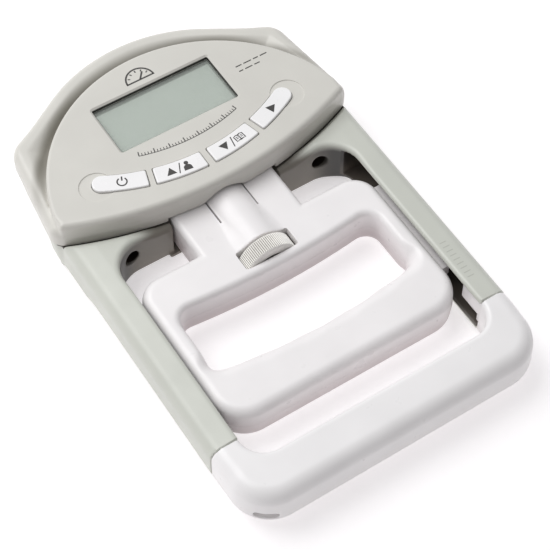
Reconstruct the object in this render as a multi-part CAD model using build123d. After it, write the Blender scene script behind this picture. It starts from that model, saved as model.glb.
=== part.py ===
"""Hand dynamometer: a grip-strength gauge with a display head, a U-shaped frame and a sliding handle.

Millimetres.  X points to the right, Y from the palm bar towards the display head, Z out of the face.
The gauge lies on its back; the origin is the centre of the bottom face of its bounding box.
"""
from build123d import *
import math
import os

os.makedirs("parts", exist_ok=True)

# ---- driving dimensions -------------------------------------------------------------------------
LENGTH = 198.0                 # palm bar to the top of the head
HALF_LENGTH = LENGTH / 2
HEAD_HALF_WIDTH = 64.0         # at the lower corners of the head
SMILE_END = (HEAD_HALF_WIDTH, 32.4)      # lower corner of the head
SMILE_MID_Y = 18.3                       # lowest point of its curved lower edge
SHOULDER = (58.8, 75.2)                  # upper corner
CROWN = (34.0, 89.4)                     # where the top arc meets the flare
FACE_Z = 28.4                  # raised face of the head
FLANGE_Z = 24.8                # rim of the head around the raised face
SEAM_Z = 17.3                  # parting line between head cover and frame
SEAM_GAP = 0.3                 # shadow line in that joint
AXIS_Z = 11.4                  # axis of the adjusting screw
WALL = 2.2                     # moulded wall thickness

ARM_OUTER_X = 61.4
ARM_INNER_X = 50.3             # edge of the two lips of each arm channel
ARM_TOP_Z = 20.8
ARM_BOTTOM_Z = 2.2
ARM_END_Y = -71.4              # joint between the arms and the end grip
SCALE_TICKS = 9
INNER_WALL_Y = 17.0            # head wall that faces the handle
NECK_HALF_WIDTH = 22.2
NECK_OPENING = 23.2            # half width of the opening in that wall
NECK_END_Y = 37.0              # inner end of the neck, inside the head

HANDLE_HALF_WIDTH = 49.8
HANDLE_TOP_Y = 1.6
HANDLE_BOTTOM_Y = -66.0
HANDLE_TOP_Z = 18.5
HANDLE_BOTTOM_Z = 2.0
HANDLE_SPLIT_Z = 10.25
LOOP_HALF_WIDTH = 42.0         # finger loop opening
LOOP_TOP_Y = -18.4             # upper side of the finger loop, at mid width
LOOP_TOP_SIDE_Y = -15.6
LOOP_CORNER = 6.5
FINGER_Y = -46.0               # inner side of the finger bar, at mid width

WHEEL_RADIUS = 11.2
WHEEL_Y0 = -13.2
WHEEL_Y1 = -7.5
SCREW_RADIUS = 3.0
SCREW_END_Y = 74.5             # free end of the adjusting screw, inside the head
KNURLS = 60
BOSS_WIDE = 11.3               # half-round boss over the screw, at the wheel
BOSS_NARROW = 10.2             # and where it enters the head

KEY_CENTRE_Y = 110.6           # centre of the two arcs that bound the row of keys
KEY_INNER_R = 76.95
KEY_OUTER_R = 84.25
KEY_TOP_Z = 29.0
KEY_TRAVEL = 0.7
KEY_FLANGE_Z = 25.4            # underside of the flange that holds a key under the cover
MAT_THICKNESS = 0.8
DOME_TOP_Z = 22.9              # top of the silicone dome under each key
KEY_GAP = 0.25

WINDOW_HALF_WIDTH = 25.3
WINDOW_Y0 = 49.0
WINDOW_Y1 = 72.3
LENS_TOP_Z = 26.6
LCD_Z0, LCD_Z1 = 22.6, 24.7

BOARD_Z0 = 19.6
BOARD_Z1 = 21.2
CELL_RADIUS = 5.25             # AAA
CELL_LENGTH = 44.5
CELL_XS = (-47.5, -36.5)
CELL_Z = 7.4
TAB_XS = (-48.2, -34.0)        # solder tabs of the contact plates, outside the battery bay
TAB_Y, TAB_Z = 25.0, 10.2
BAY_X0, BAY_X1, BAY_Y0, BAY_Y1 = -53.4, -30.6, 27.0, 74.0
BAY_WALL = 1.2
BAY_ROOF_Z = 14.2
DOOR_Z0, DOOR_Z1 = 0.2, 1.5
CONTACT = 0.3                  # thickness of the contact plates
LEAD_RADIUS = 0.55

PALM_INNER_Y = -81.0
CORNER_RADIUS = 15.5

COVER_SCREWS = [(-57.2, 36.0), (57.2, 36.0), (-20.0, 86.0), (20.0, 86.0)]
BOARD_SCREWS = [(-32.0, 46.0), (32.0, 46.0), (0.0, 78.2)]
HANDLE_SCREWS = [(-45.6, -6.0), (45.6, -6.0), (-44.0, -55.0), (44.0, -55.0), (-16.0, 28.0), (16.0, 28.0)]
TONGUE_SCREW = (55.0, -64.5)
GRIP_SCREWS = [(-38.0, -90.0), (38.0, -90.0)]
BEAM_Y0, BEAM_Y1 = 53.0, 63.0
BEAM_Z0, BEAM_Z1 = 5.4, 17.4
BEAM_HALF = 27.5
BEAM_BOLT_X = 23.0
BEAM_Y = (BEAM_Y0 + BEAM_Y1) / 2
GAUGE_X = 12.0                 # thinned places of the beam, where the gauges are bonded
GAUGE_THICKNESS = 0.3


# ---- small helpers ------------------------------------------------------------------------------
def block(x0, x1, y0, y1, z0, z1):
    """Box from its limits."""
    centre = Pos((x0 + x1) / 2, (y0 + y1) / 2, (z0 + z1) / 2)
    return centre * Box(abs(x1 - x0), abs(y1 - y0), abs(z1 - z0))


def post(x, y, radius, z0, z1):
    """Upright cylinder."""
    return Pos(x, y, (z0 + z1) / 2) * Cylinder(radius, z1 - z0)


def rod(radius, y0, y1, x=0.0, z=AXIS_Z):
    """Cylinder along Y."""
    return Pos(x, (y0 + y1) / 2, z) * Rot(-90, 0, 0) * Cylinder(radius, y1 - y0)


def slab(sketch, z0, z1, taper=0.0):
    """Plan sketch turned into a plate between two heights."""
    return extrude(Pos(0, 0, z0) * sketch, amount=z1 - z0, taper=taper)


def loop_face(*edges):
    """Face inside a closed chain of edges."""
    chain = [edge for item in edges for edge in item.edges()]
    return Sketch() + make_face(Wire(chain))


def union(parts):
    """Join a list of solids into one."""
    whole = parts[0]
    for part in parts[1:]:
        whole = whole + part
    return whole


def save(name, shape):
    """Write one named piece."""
    export_step(Compound(children=list(shape.solids())) if len(shape.solids()) > 1 else shape.solids()[0],
                os.path.join("parts", name + ".step"))


# ---- plan outlines ------------------------------------------------------------------------------
def head_outline():
    """Bell-shaped plan of the head: curved lower edge, straight sides, flared shoulders, round crown."""
    (cx, cy), (sx, sy), (ex, ey) = CROWN, SHOULDER, SMILE_END
    rise = HALF_LENGTH - cy
    crown_radius = (cx ** 2 + rise ** 2) / (2 * rise)
    slope = (crown_radius - rise, -cx)
    top = ThreePointArc((-cx, cy), (0, HALF_LENGTH), (cx, cy))
    flare = TangentArc((cx, cy), (sx, sy), tangent=slope)
    outline = loop_face(
        ThreePointArc((-ex, ey), (0, SMILE_MID_Y), (ex, ey)),
        Line((ex, ey), (sx, sy)),
        flare,
        top,
        mirror(flare, Plane.YZ),
        Line((-sx, sy), (-ex, ey)),
    )
    corners = [v for v in outline.vertices() if abs(v.X) > 50]
    return fillet(corners, 3.6)


def crescent():
    """Raised face: a circle cut off by the curved lower edge of the head."""
    ex, ey = SMILE_END
    above = loop_face(
        ThreePointArc((-ex, ey), (0, SMILE_MID_Y), (ex, ey)),
        Line((ex, ey), (ex, HALF_LENGTH)),
        Line((ex, HALF_LENGTH), (-ex, HALF_LENGTH)),
        Line((-ex, HALF_LENGTH), (-ex, ey)),
    )
    return above & (Pos(0, 25.2) * Circle(61.5))


def key_sector(a0, a1, grow=0.0, round_end=False):
    """Plan of one key on the curved row, from angle a0 to a1 in degrees off the centre line."""
    inner, outer = KEY_INNER_R - grow, KEY_OUTER_R + grow
    middle = (KEY_INNER_R + KEY_OUTER_R) / 2
    side = 1 if a1 > a0 else -1
    a0 = a0 - side * math.degrees(grow / middle)
    if round_end:
        a1 = a1 - side * math.degrees((KEY_OUTER_R - KEY_INNER_R) / 2 / middle)
    else:
        a1 = a1 + side * math.degrees(grow / middle)

    def at(radius, angle):
        turn = math.radians(angle)
        return (radius * math.sin(turn), KEY_CENTRE_Y - radius * math.cos(turn))

    half = (a0 + a1) / 2
    plan = loop_face(
        ThreePointArc(at(outer, a0), at(outer, half), at(outer, a1)),
        Line(at(outer, a1), at(inner, a1)),
        ThreePointArc(at(inner, a1), at(inner, half), at(inner, a0)),
        Line(at(inner, a0), at(outer, a0)),
    )
    plan = fillet(plan.vertices(), 0.8)
    if round_end:
        plan = plan + Pos(*at(middle, a1)) * Circle((outer - inner) / 2)
    return plan


LEFT_KEYS = {"power_key": (-16.95, -31.5, True, -24.0), "user_key": (-1.1, -15.0, False, -10.6)}
MIRRORED_KEYS = {"power_key": "start_key", "user_key": "recall_key"}


def key_point(angle):
    """Point under a key where its plunger and dome sit."""
    radius = (KEY_INNER_R + KEY_OUTER_R) / 2
    turn = math.radians(angle)
    return radius * math.sin(turn), KEY_CENTRE_Y - radius * math.cos(turn)


# ---- head cover ---------------------------------------------------------------------------------
def make_head_cover():
    outline = head_outline()
    face = crescent()
    low = SEAM_Z + SEAM_GAP / 2
    shell = slab(outline, low, FLANGE_Z)
    rim = shell.faces().sort_by(Axis.Z)[-1].edges()
    shell = fillet(rim, 2.6)
    dome = slab(face, low, FACE_Z)
    dome = fillet(dome.faces().sort_by(Axis.Z)[-1].edges(), 1.6)
    shell = shell + dome
    cavity = slab(offset(outline, -WALL), low - 1, FLANGE_Z - WALL)
    cavity = cavity + slab(offset(face, -WALL), low - 1, FACE_Z - WALL)
    shell = shell - cavity

    frame_z = LENS_TOP_Z - 1.0
    shell = shell + block(-27.6, 27.6, WINDOW_Y0 - 2.2, WINDOW_Y1 + 2.2, frame_z - 0.8, FACE_Z - WALL + 0.2)
    shell = shell - block(-WINDOW_HALF_WIDTH, WINDOW_HALF_WIDTH, WINDOW_Y0, WINDOW_Y1, frame_z, FACE_Z + 1)
    shell = shell - block(-24.0, 24.0, WINDOW_Y0 + 1.3, WINDOW_Y1 - 1.3, frame_z - 2, FACE_Z)

    for a0, a1, rounded, plunger in LEFT_KEYS.values():
        slot = slab(key_sector(a0, a1, KEY_GAP, rounded), FACE_Z - WALL - 1, FACE_Z + 1)
        shell = shell - slot - mirror(slot, Plane.YZ)
    for side in (-1, 1):
        dish_radius = 43.8
        shell = shell - Pos(side * 41.2, 39.9, FACE_Z - 0.5 + dish_radius) * Sphere(dish_radius)

    for x, y in COVER_SCREWS:
        boss_top = FACE_Z - WALL if math.hypot(x, y - 25.2) < 58 else FLANGE_Z - WALL
        shell = shell + post(x, y, 2.9, low + 0.2, boss_top + 0.5)
        shell = shell - post(x, y, 1.15, low - 1, boss_top - 1.5)
    for x, y in BOARD_SCREWS:
        shell = shell + post(x, y, 2.2, BOARD_Z1, FACE_Z - WALL + 0.5)
        shell = shell - post(x, y, 0.85, BOARD_Z1 - 1, BOARD_Z1 + 3.5)

    shell = shell - block(-NECK_OPENING, NECK_OPENING, 10, 40, low - 1, HANDLE_TOP_Z + 0.5)
    shell = shell - rod(BOSS_WIDE + 0.1, 10, 26)
    return shell


# ---- main frame ---------------------------------------------------------------------------------
def make_main_frame():
    outline = head_outline()
    top = SEAM_Z - SEAM_GAP / 2
    tray = extrude(Pos(0, 0, top) * offset(outline, -0.3), amount=-top, taper=7.5)
    tray = fillet(tray.faces().sort_by(Axis.Z)[0].edges(), 1.5)
    front = block(-ARM_INNER_X - 4, ARM_INNER_X + 4, INNER_WALL_Y, 42, 0, ARM_TOP_Z)
    arms = union([arm(side) for side in (-1, 1)])
    body = tray + front + arms

    seat = slab(offset(outline, 0.4), top, ARM_TOP_Z + 6, taper=-38)
    body = body - seat
    body = body - saddle_cut()

    hollow = extrude(Pos(0, 0, top + 1) * offset(outline, -0.3 - WALL - 0.2), amount=-(top - 1), taper=7.5)
    front_keep = block(-80, 80, -20, INNER_WALL_Y + WALL, -1, 40)
    body = body - (hollow - front_keep)
    for side in (-1, 1):
        body = body - block(side * 30, side * 54, INNER_WALL_Y + WALL + 0.3, 44, ARM_BOTTOM_Z + WALL, 16.4)
    body = body + block(-25.5, 25.5, INNER_WALL_Y - 1.3, INNER_WALL_Y + 2, 0.3, HANDLE_BOTTOM_Z - 0.2)
    body = body - block(-NECK_OPENING, NECK_OPENING, 8, 26, HANDLE_BOTTOM_Z - 0.2, ARM_TOP_Z + 6)
    return frame_details(body)


def saddle_cut():
    """Lowers the top of the inner wall beside the neck, in two smooth ramps up to the arms."""
    low, high = SEAM_Z - SEAM_GAP / 2, ARM_TOP_Z
    flat, crest = 27.0, 42.0
    middle = ((flat + crest) / 2, (low + high) / 2)
    profile = loop_face(
        Line((-flat, low), (flat, low)),
        ThreePointArc((flat, low), (flat + 4.2, low + 0.5), middle),
        ThreePointArc(middle, (crest - 4.2, high - 0.5), (crest, high)),
        Line((crest, high), (crest, high + 8)),
        Line((crest, high + 8), (-crest, high + 8)),
        Line((-crest, high + 8), (-crest, high)),
        ThreePointArc((-crest, high), (4.2 - crest, high - 0.5), (-middle[0], middle[1])),
        ThreePointArc((-middle[0], middle[1]), (-flat - 4.2, low + 0.5), (-flat, low)),
    )
    cutter = extrude(Plane.XZ * profile, amount=-60)
    return Pos(0, 5, 0) * cutter


def arm(side):
    """One arm: a channel, open towards the handle, that widens in a large fillet into the head."""
    section = loop_face(
        Line((ARM_INNER_X, ARM_BOTTOM_Z), (ARM_OUTER_X - 6, ARM_BOTTOM_Z)),
        ThreePointArc((ARM_OUTER_X - 6, ARM_BOTTOM_Z), (ARM_OUTER_X - 1.4, ARM_BOTTOM_Z + 1.6),
                      (ARM_OUTER_X, ARM_BOTTOM_Z + 6.5)),
        Line((ARM_OUTER_X, ARM_BOTTOM_Z + 6.5), (ARM_OUTER_X, ARM_TOP_Z - 5)),
        ThreePointArc((ARM_OUTER_X, ARM_TOP_Z - 5), (ARM_OUTER_X - 0.95, ARM_TOP_Z - 2.1),
                      (ARM_OUTER_X - 3.7, ARM_TOP_Z - 0.5)),
        Line((ARM_OUTER_X - 3.7, ARM_TOP_Z - 0.5), (ARM_INNER_X + 1.6, ARM_TOP_Z)),
        ThreePointArc((ARM_INNER_X + 1.6, ARM_TOP_Z), (ARM_INNER_X + 0.5, ARM_TOP_Z - 0.45),
                      (ARM_INNER_X, ARM_TOP_Z - 1.6)),
        Line((ARM_INNER_X, ARM_TOP_Z - 1.6), (ARM_INNER_X, ARM_BOTTOM_Z)),
    )
    solid = extrude(Plane.XZ * section, amount=-(40 - ARM_END_Y))
    solid = Pos(0, ARM_END_Y, 0) * solid
    corner = 12.0
    web = block(ARM_INNER_X - corner, ARM_INNER_X + 3, INNER_WALL_Y - corner, INNER_WALL_Y + 3,
                ARM_BOTTOM_Z, ARM_TOP_Z)
    web = web - post(ARM_INNER_X - corner, INNER_WALL_Y - corner, corner, 0, 40)
    solid = solid + web
    channel = block(ARM_INNER_X - 4.8, ARM_OUTER_X - WALL - 0.3, ARM_END_Y - 1, INNER_WALL_Y - 2.2,
                    ARM_BOTTOM_Z + WALL, ARM_TOP_Z - 2.4)
    solid = solid - channel
    return solid if side > 0 else mirror(solid, Plane.YZ)


def frame_details(body):
    """Bosses, battery bay, load-cell pads and holes of the frame."""
    bay_out = block(BAY_X0 - BAY_WALL, BAY_X1 + BAY_WALL, BAY_Y0 - BAY_WALL, BAY_Y1 + BAY_WALL, 0.5, BAY_ROOF_Z)
    body = body + bay_out
    body = body - block(BAY_X0, BAY_X1, BAY_Y0, BAY_Y1, -1, BAY_ROOF_Z - BAY_WALL)
    body = body - block(BAY_X0 - 0.8, BAY_X1 + 0.8, BAY_Y0 - 0.8, BAY_Y1 + 0.8, -1, 1.6)
    for x in TAB_XS:
        body = body - block(x - 1.2, x + 1.2, BAY_Y0 - BAY_WALL - 0.5, BAY_Y0 + 0.1, TAB_Z - 0.9, TAB_Z + 0.2)
    top = SEAM_Z - SEAM_GAP / 2
    for side in (-1, 1):
        body = body - post(side * TONGUE_SCREW[0], TONGUE_SCREW[1], 1.4, 0, 6)
        body = body - post(side * TONGUE_SCREW[0], TONGUE_SCREW[1], 2.5, 0, ARM_BOTTOM_Z + 1.1)
    for x, y in COVER_SCREWS:
        body = body + post(x, y, 2.9, 1.0, top)
        body = body - post(x, y, 1.5, -1, top + 1)
        body = body - post(x, y, 2.7, -1, 4.0)
    for side in (-1, 1):
        body = body + rod(4.6, INNER_WALL_Y + 1, INNER_WALL_Y + 8, side * 41.0)
        body = body - rod(3.1, INNER_WALL_Y - 1, INNER_WALL_Y + 6.5, side * 41.0)
        pad = block(side * (BEAM_BOLT_X - 4.3), side * (BEAM_BOLT_X + 4.3), BEAM_Y0 - 0.5, BEAM_Y1 + 0.5,
                    1.0, BEAM_Z0)
        body = body + pad
        body = body - post(side * BEAM_BOLT_X, (BEAM_Y0 + BEAM_Y1) / 2, 1.7, 1.0, BEAM_Z0 + 1)
    return body


def make_frame():
    """Frame with the moulded position scale on the right arm."""
    body = make_main_frame()
    for n in range(SCALE_TICKS):
        y = -43.5 - n * 2.125
        length = 3.4 if n % 4 == 0 else 2.2
        body = body - block(52.6, 52.6 + length, y - 0.2, y + 0.2, ARM_TOP_Z - 0.35, ARM_TOP_Z + 1)
    return body


# ---- end grip -----------------------------------------------------------------------------------
def grip_plan():
    inner, outer = ARM_INNER_X, ARM_OUTER_X
    end_y = ARM_END_Y - 0.25
    outer_face = loop_face(
        Line((-outer, end_y), (-outer, -HALF_LENGTH)),
        Line((-outer, -HALF_LENGTH), (outer, -HALF_LENGTH)),
        Line((outer, -HALF_LENGTH), (outer, end_y)),
        Line((outer, end_y), (-outer, end_y)),
    )
    corners = [v for v in outer_face.vertices() if v.Y < -90]
    outer_face = fillet(corners, CORNER_RADIUS)
    hole = loop_face(
        Line((-inner, end_y + 1), (-inner, PALM_INNER_Y)),
        Line((-inner, PALM_INNER_Y), (inner, PALM_INNER_Y)),
        Line((inner, PALM_INNER_Y), (inner, end_y + 1)),
        Line((inner, end_y + 1), (-inner, end_y + 1)),
    )
    hole = fillet([v for v in hole.vertices() if v.Y < -75], 9.4)
    return outer_face - hole


def make_end_grip():
    plan = grip_plan()
    solid = slab(plan, ARM_BOTTOM_Z, ARM_TOP_Z)
    top = solid.faces().sort_by(Axis.Z)[-1]
    bottom = solid.faces().sort_by(Axis.Z)[0]
    end_y = ARM_END_Y - 0.25

    def outside(edge):
        mid = edge.center()
        return mid.Y < PALM_INNER_Y - 5 or abs(mid.X) > ARM_OUTER_X - 1

    def along(edge):
        return abs(edge.center().Y - end_y) > 0.1

    outer_edges = [e for f in (top, bottom) for e in f.edges() if outside(e) and along(e)]
    solid = fillet(outer_edges, 5.0)
    inner_edges = [e for e in solid.edges()
                   if abs(e.center().Z - ARM_TOP_Z) < 0.01 or abs(e.center().Z - ARM_BOTTOM_Z) < 0.01]
    inner_edges = [e for e in inner_edges if along(e) and not outside(e) and e.center().Y > PALM_INNER_Y - 2]
    solid = fillet(inner_edges, 1.6)
    hollow = slab(offset(plan, -WALL - 0.3), ARM_BOTTOM_Z + 2.4, ARM_TOP_Z - 2.4)
    solid = solid - hollow
    pocket = block(-46, 46, -94.5, -85.5, ARM_BOTTOM_Z - 1, ARM_BOTTOM_Z + 3)
    solid = solid - pocket
    for side in (-1, 1):
        x0, x1 = side * (ARM_INNER_X + 1.3), side * (ARM_OUTER_X - 3.0)
        tongue = block(x0, x1, end_y - 3, -59.6, 8.6, ARM_TOP_Z - 2.8)
        tongue = tongue + block(x0, x1, end_y - 3, -69.0, ARM_BOTTOM_Z + 2.6, 7.2)
        tongue = tongue + post(side * TONGUE_SCREW[0], TONGUE_SCREW[1], 2.6, ARM_BOTTOM_Z + 2.6, 10)
        tongue = tongue - post(side * TONGUE_SCREW[0], TONGUE_SCREW[1], 1.05, 0, 14)
        solid = solid + tongue
    slot_turn = math.radians(238)
    sx = -(ARM_OUTER_X - CORNER_RADIUS) + CORNER_RADIUS * math.cos(slot_turn)
    sy = -(HALF_LENGTH - CORNER_RADIUS) + CORNER_RADIUS * math.sin(slot_turn)
    slot = Pos(sx, sy, 8.6) * Rot(0, 0, 238 - 270) * Box(9.0, 4.0, 2.2)
    solid = solid - slot
    for x, y in GRIP_SCREWS:
        solid = solid + post(x, y, 2.9, ARM_BOTTOM_Z + 2.0, ARM_TOP_Z - 2.0)
        solid = solid - post(x, y, 1.1, ARM_BOTTOM_Z, ARM_BOTTOM_Z + 9)
    return solid


def make_end_grip_plate():
    plate = block(-45.8, 45.8, -94.3, -85.7, ARM_BOTTOM_Z, ARM_BOTTOM_Z + 1.9)
    plate = fillet(plate.edges().filter_by(Axis.Z), 1.5)
    for x, y in GRIP_SCREWS:
        plate = plate - post(x, y, 1.45, ARM_BOTTOM_Z - 1, ARM_BOTTOM_Z + 3)
        plate = plate - post(x, y, 2.5, ARM_BOTTOM_Z - 1, ARM_BOTTOM_Z + 0.9)
    return plate


# ---- handle -------------------------------------------------------------------------------------
def finger_line(grow):
    """Points along the finger side of the bar: a shallow hollow with four finger grooves."""
    points = []
    for n in range(17):
        x = -34 + n * 4.25
        wave = 0.45 * math.cos(2 * math.pi * x / 17.0)
        points.append((x, FINGER_Y - grow + 2.6 * (x / 34) ** 2 + wave))
    return points


def loop_opening(grow=0.0):
    """Finger loop, grown on all sides: bowed top side, straight ends, grooved lower side, round corners."""
    grooves = finger_line(grow)
    side = LOOP_HALF_WIDTH + grow
    top, top_middle = LOOP_TOP_SIDE_Y + grow, LOOP_TOP_Y + grow
    left, right = (-side, grooves[0][1] + 0.6), (side, grooves[-1][1] + 0.6)
    plan = loop_face(
        Spline(left, *grooves, right),
        Line(right, (side, top)),
        ThreePointArc((side, top), (0, top_middle), (-side, top)),
        Line((-side, top), left),
    )
    return fillet([v for v in plan.vertices() if abs(v.X) > side - 1], LOOP_CORNER + grow)


def handle_outer_plan():
    w = HANDLE_HALF_WIDTH
    plan = loop_face(
        Line((-w, HANDLE_BOTTOM_Y), (w, HANDLE_BOTTOM_Y)),
        Line((w, HANDLE_BOTTOM_Y), (w, HANDLE_TOP_Y)),
        Line((w, HANDLE_TOP_Y), (-w, HANDLE_TOP_Y)),
        Line((-w, HANDLE_TOP_Y), (-w, HANDLE_BOTTOM_Y)),
    )
    plan = fillet([v for v in plan.vertices() if v.Y > 0], 10.0)
    return fillet([v for v in plan.vertices() if v.Y < -60], 13.5)


def make_handle():
    """Both handle shells, as one hollow body that is then cut at the parting plane."""
    outer, opening = handle_outer_plan(), loop_opening()
    body = slab(outer - opening, HANDLE_BOTTOM_Z, HANDLE_TOP_Z)
    flat = [f for f in body.faces() if abs(f.normal_at().Z) > 0.99]
    body = fillet([e for f in flat for e in f.edges()], 3.2)
    neck = block(-NECK_HALF_WIDTH, NECK_HALF_WIDTH, -6, NECK_END_Y, HANDLE_BOTTOM_Z + 0.6, HANDLE_TOP_Z)
    neck = fillet(neck.edges().filter_by(Axis.Y), 1.6)
    body = body + neck
    boss_y0, boss_y1 = WHEEL_Y1 + 0.4, 24.0
    boss = Pos(0, (boss_y0 + boss_y1) / 2, AXIS_Z) * Rot(-90, 0, 0) * Cone(BOSS_WIDE, BOSS_NARROW, boss_y1 - boss_y0)
    boss = boss - block(-20, 20, -30, 60, -10, HANDLE_SPLIT_Z)
    body = body + boss

    inside = offset(outer, -WALL) - loop_opening(WALL)
    cavity = slab(inside, HANDLE_BOTTOM_Z + WALL, HANDLE_TOP_Z - WALL)
    cavity = cavity + block(-NECK_HALF_WIDTH + WALL, NECK_HALF_WIDTH - WALL, -2, NECK_END_Y - WALL,
                            HANDLE_BOTTOM_Z + 0.6 + WALL, HANDLE_TOP_Z - WALL)
    cavity = cavity - block(-14.5, 14.5, -21, 1.5, 0, 20)
    body = body - cavity

    body = body - rod(WHEEL_RADIUS + 0.5, WHEEL_Y0 - 0.45, WHEEL_Y1 + 0.45)
    body = body - block(-9.4, 9.4, WHEEL_Y0 - 0.45, WHEEL_Y1 + 0.45, AXIS_Z, 30)
    body = body - block(-7.2, 7.2, WHEEL_Y0 - 0.45, WHEEL_Y1 + 0.45, -5, AXIS_Z)
    body = body - rod(SCREW_RADIUS + 0.15, -17.0, NECK_END_Y + 1)
    for y0, y1 in ((WHEEL_Y0 - 1.3, WHEEL_Y0), (WHEEL_Y1, WHEEL_Y1 + 1.3)):
        body = body - rod(6.1, y0, y1)
    for side in (-1, 1):
        body = body - block(side * 7.6, side * 8.3, 8.0, NECK_END_Y + 1, HANDLE_TOP_Z - WALL - 1, 24)
        rib = block(side * (HANDLE_HALF_WIDTH - 2), side * 53.2, -50, -6, 9.4, 17.7)
        body = body + fillet(rib.edges().filter_by(Axis.Z), 1.5)
    for x, y in HANDLE_SCREWS:
        low = HANDLE_BOTTOM_Z + 0.5
        body = body + post(x, y, 2.6, low + 0.5, HANDLE_TOP_Z - 0.6)
        body = body - post(x, y, 1.3, 0, HANDLE_SPLIT_Z)
        body = body - post(x, y, 1.05, HANDLE_SPLIT_Z, HANDLE_TOP_Z - WALL - 0.5)
        body = body - post(x, y, 2.3, 0, HANDLE_BOTTOM_Z + 2.2)
    return body


def split_handle(body):
    upper = body - block(-70, 70, -80, 60, -20, HANDLE_SPLIT_Z + 0.02)
    lower = body - block(-70, 70, -80, 60, HANDLE_SPLIT_Z - 0.02, 40)
    return upper, lower


# ---- adjusting screw ----------------------------------------------------------------------------
def make_wheel():
    """Knurled wheel: a toothed disc with a bore for the screw."""
    teeth = []
    for n in range(KNURLS):
        turn = 2 * math.pi * n / KNURLS
        step = math.pi / KNURLS
        teeth.append(((WHEEL_RADIUS - 0.35) * math.cos(turn), (WHEEL_RADIUS - 0.35) * math.sin(turn)))
        teeth.append((WHEEL_RADIUS * math.cos(turn + step), WHEEL_RADIUS * math.sin(turn + step)))
    disc = extrude(make_face(Polyline(*teeth, close=True)), amount=WHEEL_Y1 - WHEEL_Y0)
    wheel = Pos(0, WHEEL_Y0, AXIS_Z) * Rot(-90, 0, 0) * disc
    return wheel - rod(SCREW_RADIUS, WHEEL_Y0 - 1, WHEEL_Y1 + 1)


def make_screw():
    """Adjusting screw: plain shank in the handle, thread shown as shallow rings where it runs in the nut."""
    shaft = rod(SCREW_RADIUS, -16.4, SCREW_END_Y)
    for n in range(14):
        y = 47.0 + n * 2.0
        ring = rod(SCREW_RADIUS + 1, y, y + 0.7) - rod(SCREW_RADIUS - 0.45, y - 1, y + 2)
        shaft = shaft - ring
    return shaft


def make_washers():
    pair = []
    for y0 in (WHEEL_Y0 - 1.15, WHEEL_Y1 + 0.1):
        pair.append(rod(5.9, y0, y0 + 1.05) - rod(SCREW_RADIUS + 0.15, y0 - 1, y0 + 2))
    return Compound(children=[p.solids()[0] for p in pair])


# ---- load cell ----------------------------------------------------------------------------------
def make_beam():
    """Bending beam, thinned by two holes beside the middle, where the gauges sit."""
    beam = block(-BEAM_HALF, BEAM_HALF, BEAM_Y0, BEAM_Y1, BEAM_Z0, BEAM_Z1)
    beam = fillet(beam.edges().filter_by(Axis.Z), 1.0)
    beam = beam - rod(SCREW_RADIUS + 0.8, BEAM_Y0 - 1, BEAM_Y1 + 1)
    for side in (-1, 1):
        beam = beam - post(side * BEAM_BOLT_X, BEAM_Y, 1.8, 0, 30)
        beam = beam - post(side * GAUGE_X, BEAM_Y, 3.4, 0, 30)
    return beam


def make_gauges():
    pads = []
    for side in (-1, 1):
        x = side * GAUGE_X
        pads.append(block(x - 3.0, x + 3.0, BEAM_Y1, BEAM_Y1 + GAUGE_THICKNESS, 9.4, 13.4))
    return Compound(children=[p.solids()[0] for p in pads])


def make_beam_bolts():
    bolts = []
    for side in (-1, 1):
        x = side * BEAM_BOLT_X
        bolt = post(x, BEAM_Y, 1.5, 1.2, BEAM_Z1) + post(x, BEAM_Y, 3.2, BEAM_Z1, BEAM_Z1 + 1.9)
        bolt = bolt - block(x - 2.2, x + 2.2, BEAM_Y - 0.4, BEAM_Y + 0.4, BEAM_Z1 + 1.1, BEAM_Z1 + 3)
        bolts.append(bolt)
    return Compound(children=[b.solids()[0] for b in bolts])


def make_pull_nut():
    """Flanged hexagon nut behind the beam, in which the adjusting screw turns."""
    flange = rod(7.0, BEAM_Y1, BEAM_Y1 + 1.8)
    hexagon = extrude(RegularPolygon(6.4, 6), amount=6.2)
    nut = flange + Pos(0, BEAM_Y1 + 1.8, AXIS_Z) * Rot(-90, 0, 0) * hexagon
    spigot = rod(SCREW_RADIUS + 0.7, BEAM_Y0 + 1, BEAM_Y1)
    return nut + spigot - rod(SCREW_RADIUS + 0.05, BEAM_Y0 - 1, BEAM_Y1 + 20)


# ---- display and board --------------------------------------------------------------------------
def board_plan():
    key_band = (Pos(0, KEY_CENTRE_Y) * Circle(87.6)) - (Pos(0, KEY_CENTRE_Y) * Circle(66.0))
    key_band = key_band & (Pos(0, 40) * Rectangle(92, 60))
    plan = key_band + Pos(0, 60.5) * Rectangle(70, 43)
    notch = Pos(0, 30) * Rectangle(20.4, 21)
    return (plan - notch) & (Pos(0, 50) * Rectangle(92, 80))


def make_board():
    board = slab(board_plan(), BOARD_Z0, BOARD_Z1)
    board = board.solids().sort_by(SortBy.VOLUME)[-1]
    for x, y in BOARD_SCREWS:
        board = board - post(x, y, 1.2, 0, 40)
    return board


def make_mat():
    """Silicone sheet in two wings joined above the board notch, with a dome under each key."""
    sheet = (Pos(0, KEY_CENTRE_Y) * Circle(84.6)) - (Pos(0, KEY_CENTRE_Y) * Circle(66.0))
    sheet = sheet & (Pos(0, 40) * Rectangle(86, 60))
    sheet = sheet & (Pos(0, 35) * Rectangle(86, 18.5))
    sheet = sheet - Pos(0, 28) * Rectangle(21, 24.5)
    mat = slab(sheet, BOARD_Z1, BOARD_Z1 + MAT_THICKNESS)
    mat = mat.solids().sort_by(SortBy.VOLUME)[-1]
    for x, y in BOARD_SCREWS:
        mat = mat - post(x, y, 3.0, 0, 40)
    for a0, a1, rounded, plunger in LEFT_KEYS.values():
        x, y = key_point(plunger)
        for side in (-1, 1):
            mat = mat + Pos(side * x, y, DOME_TOP_Z - 0.5) * Cone(2.6, 1.7, 1.0)
    return mat


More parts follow.
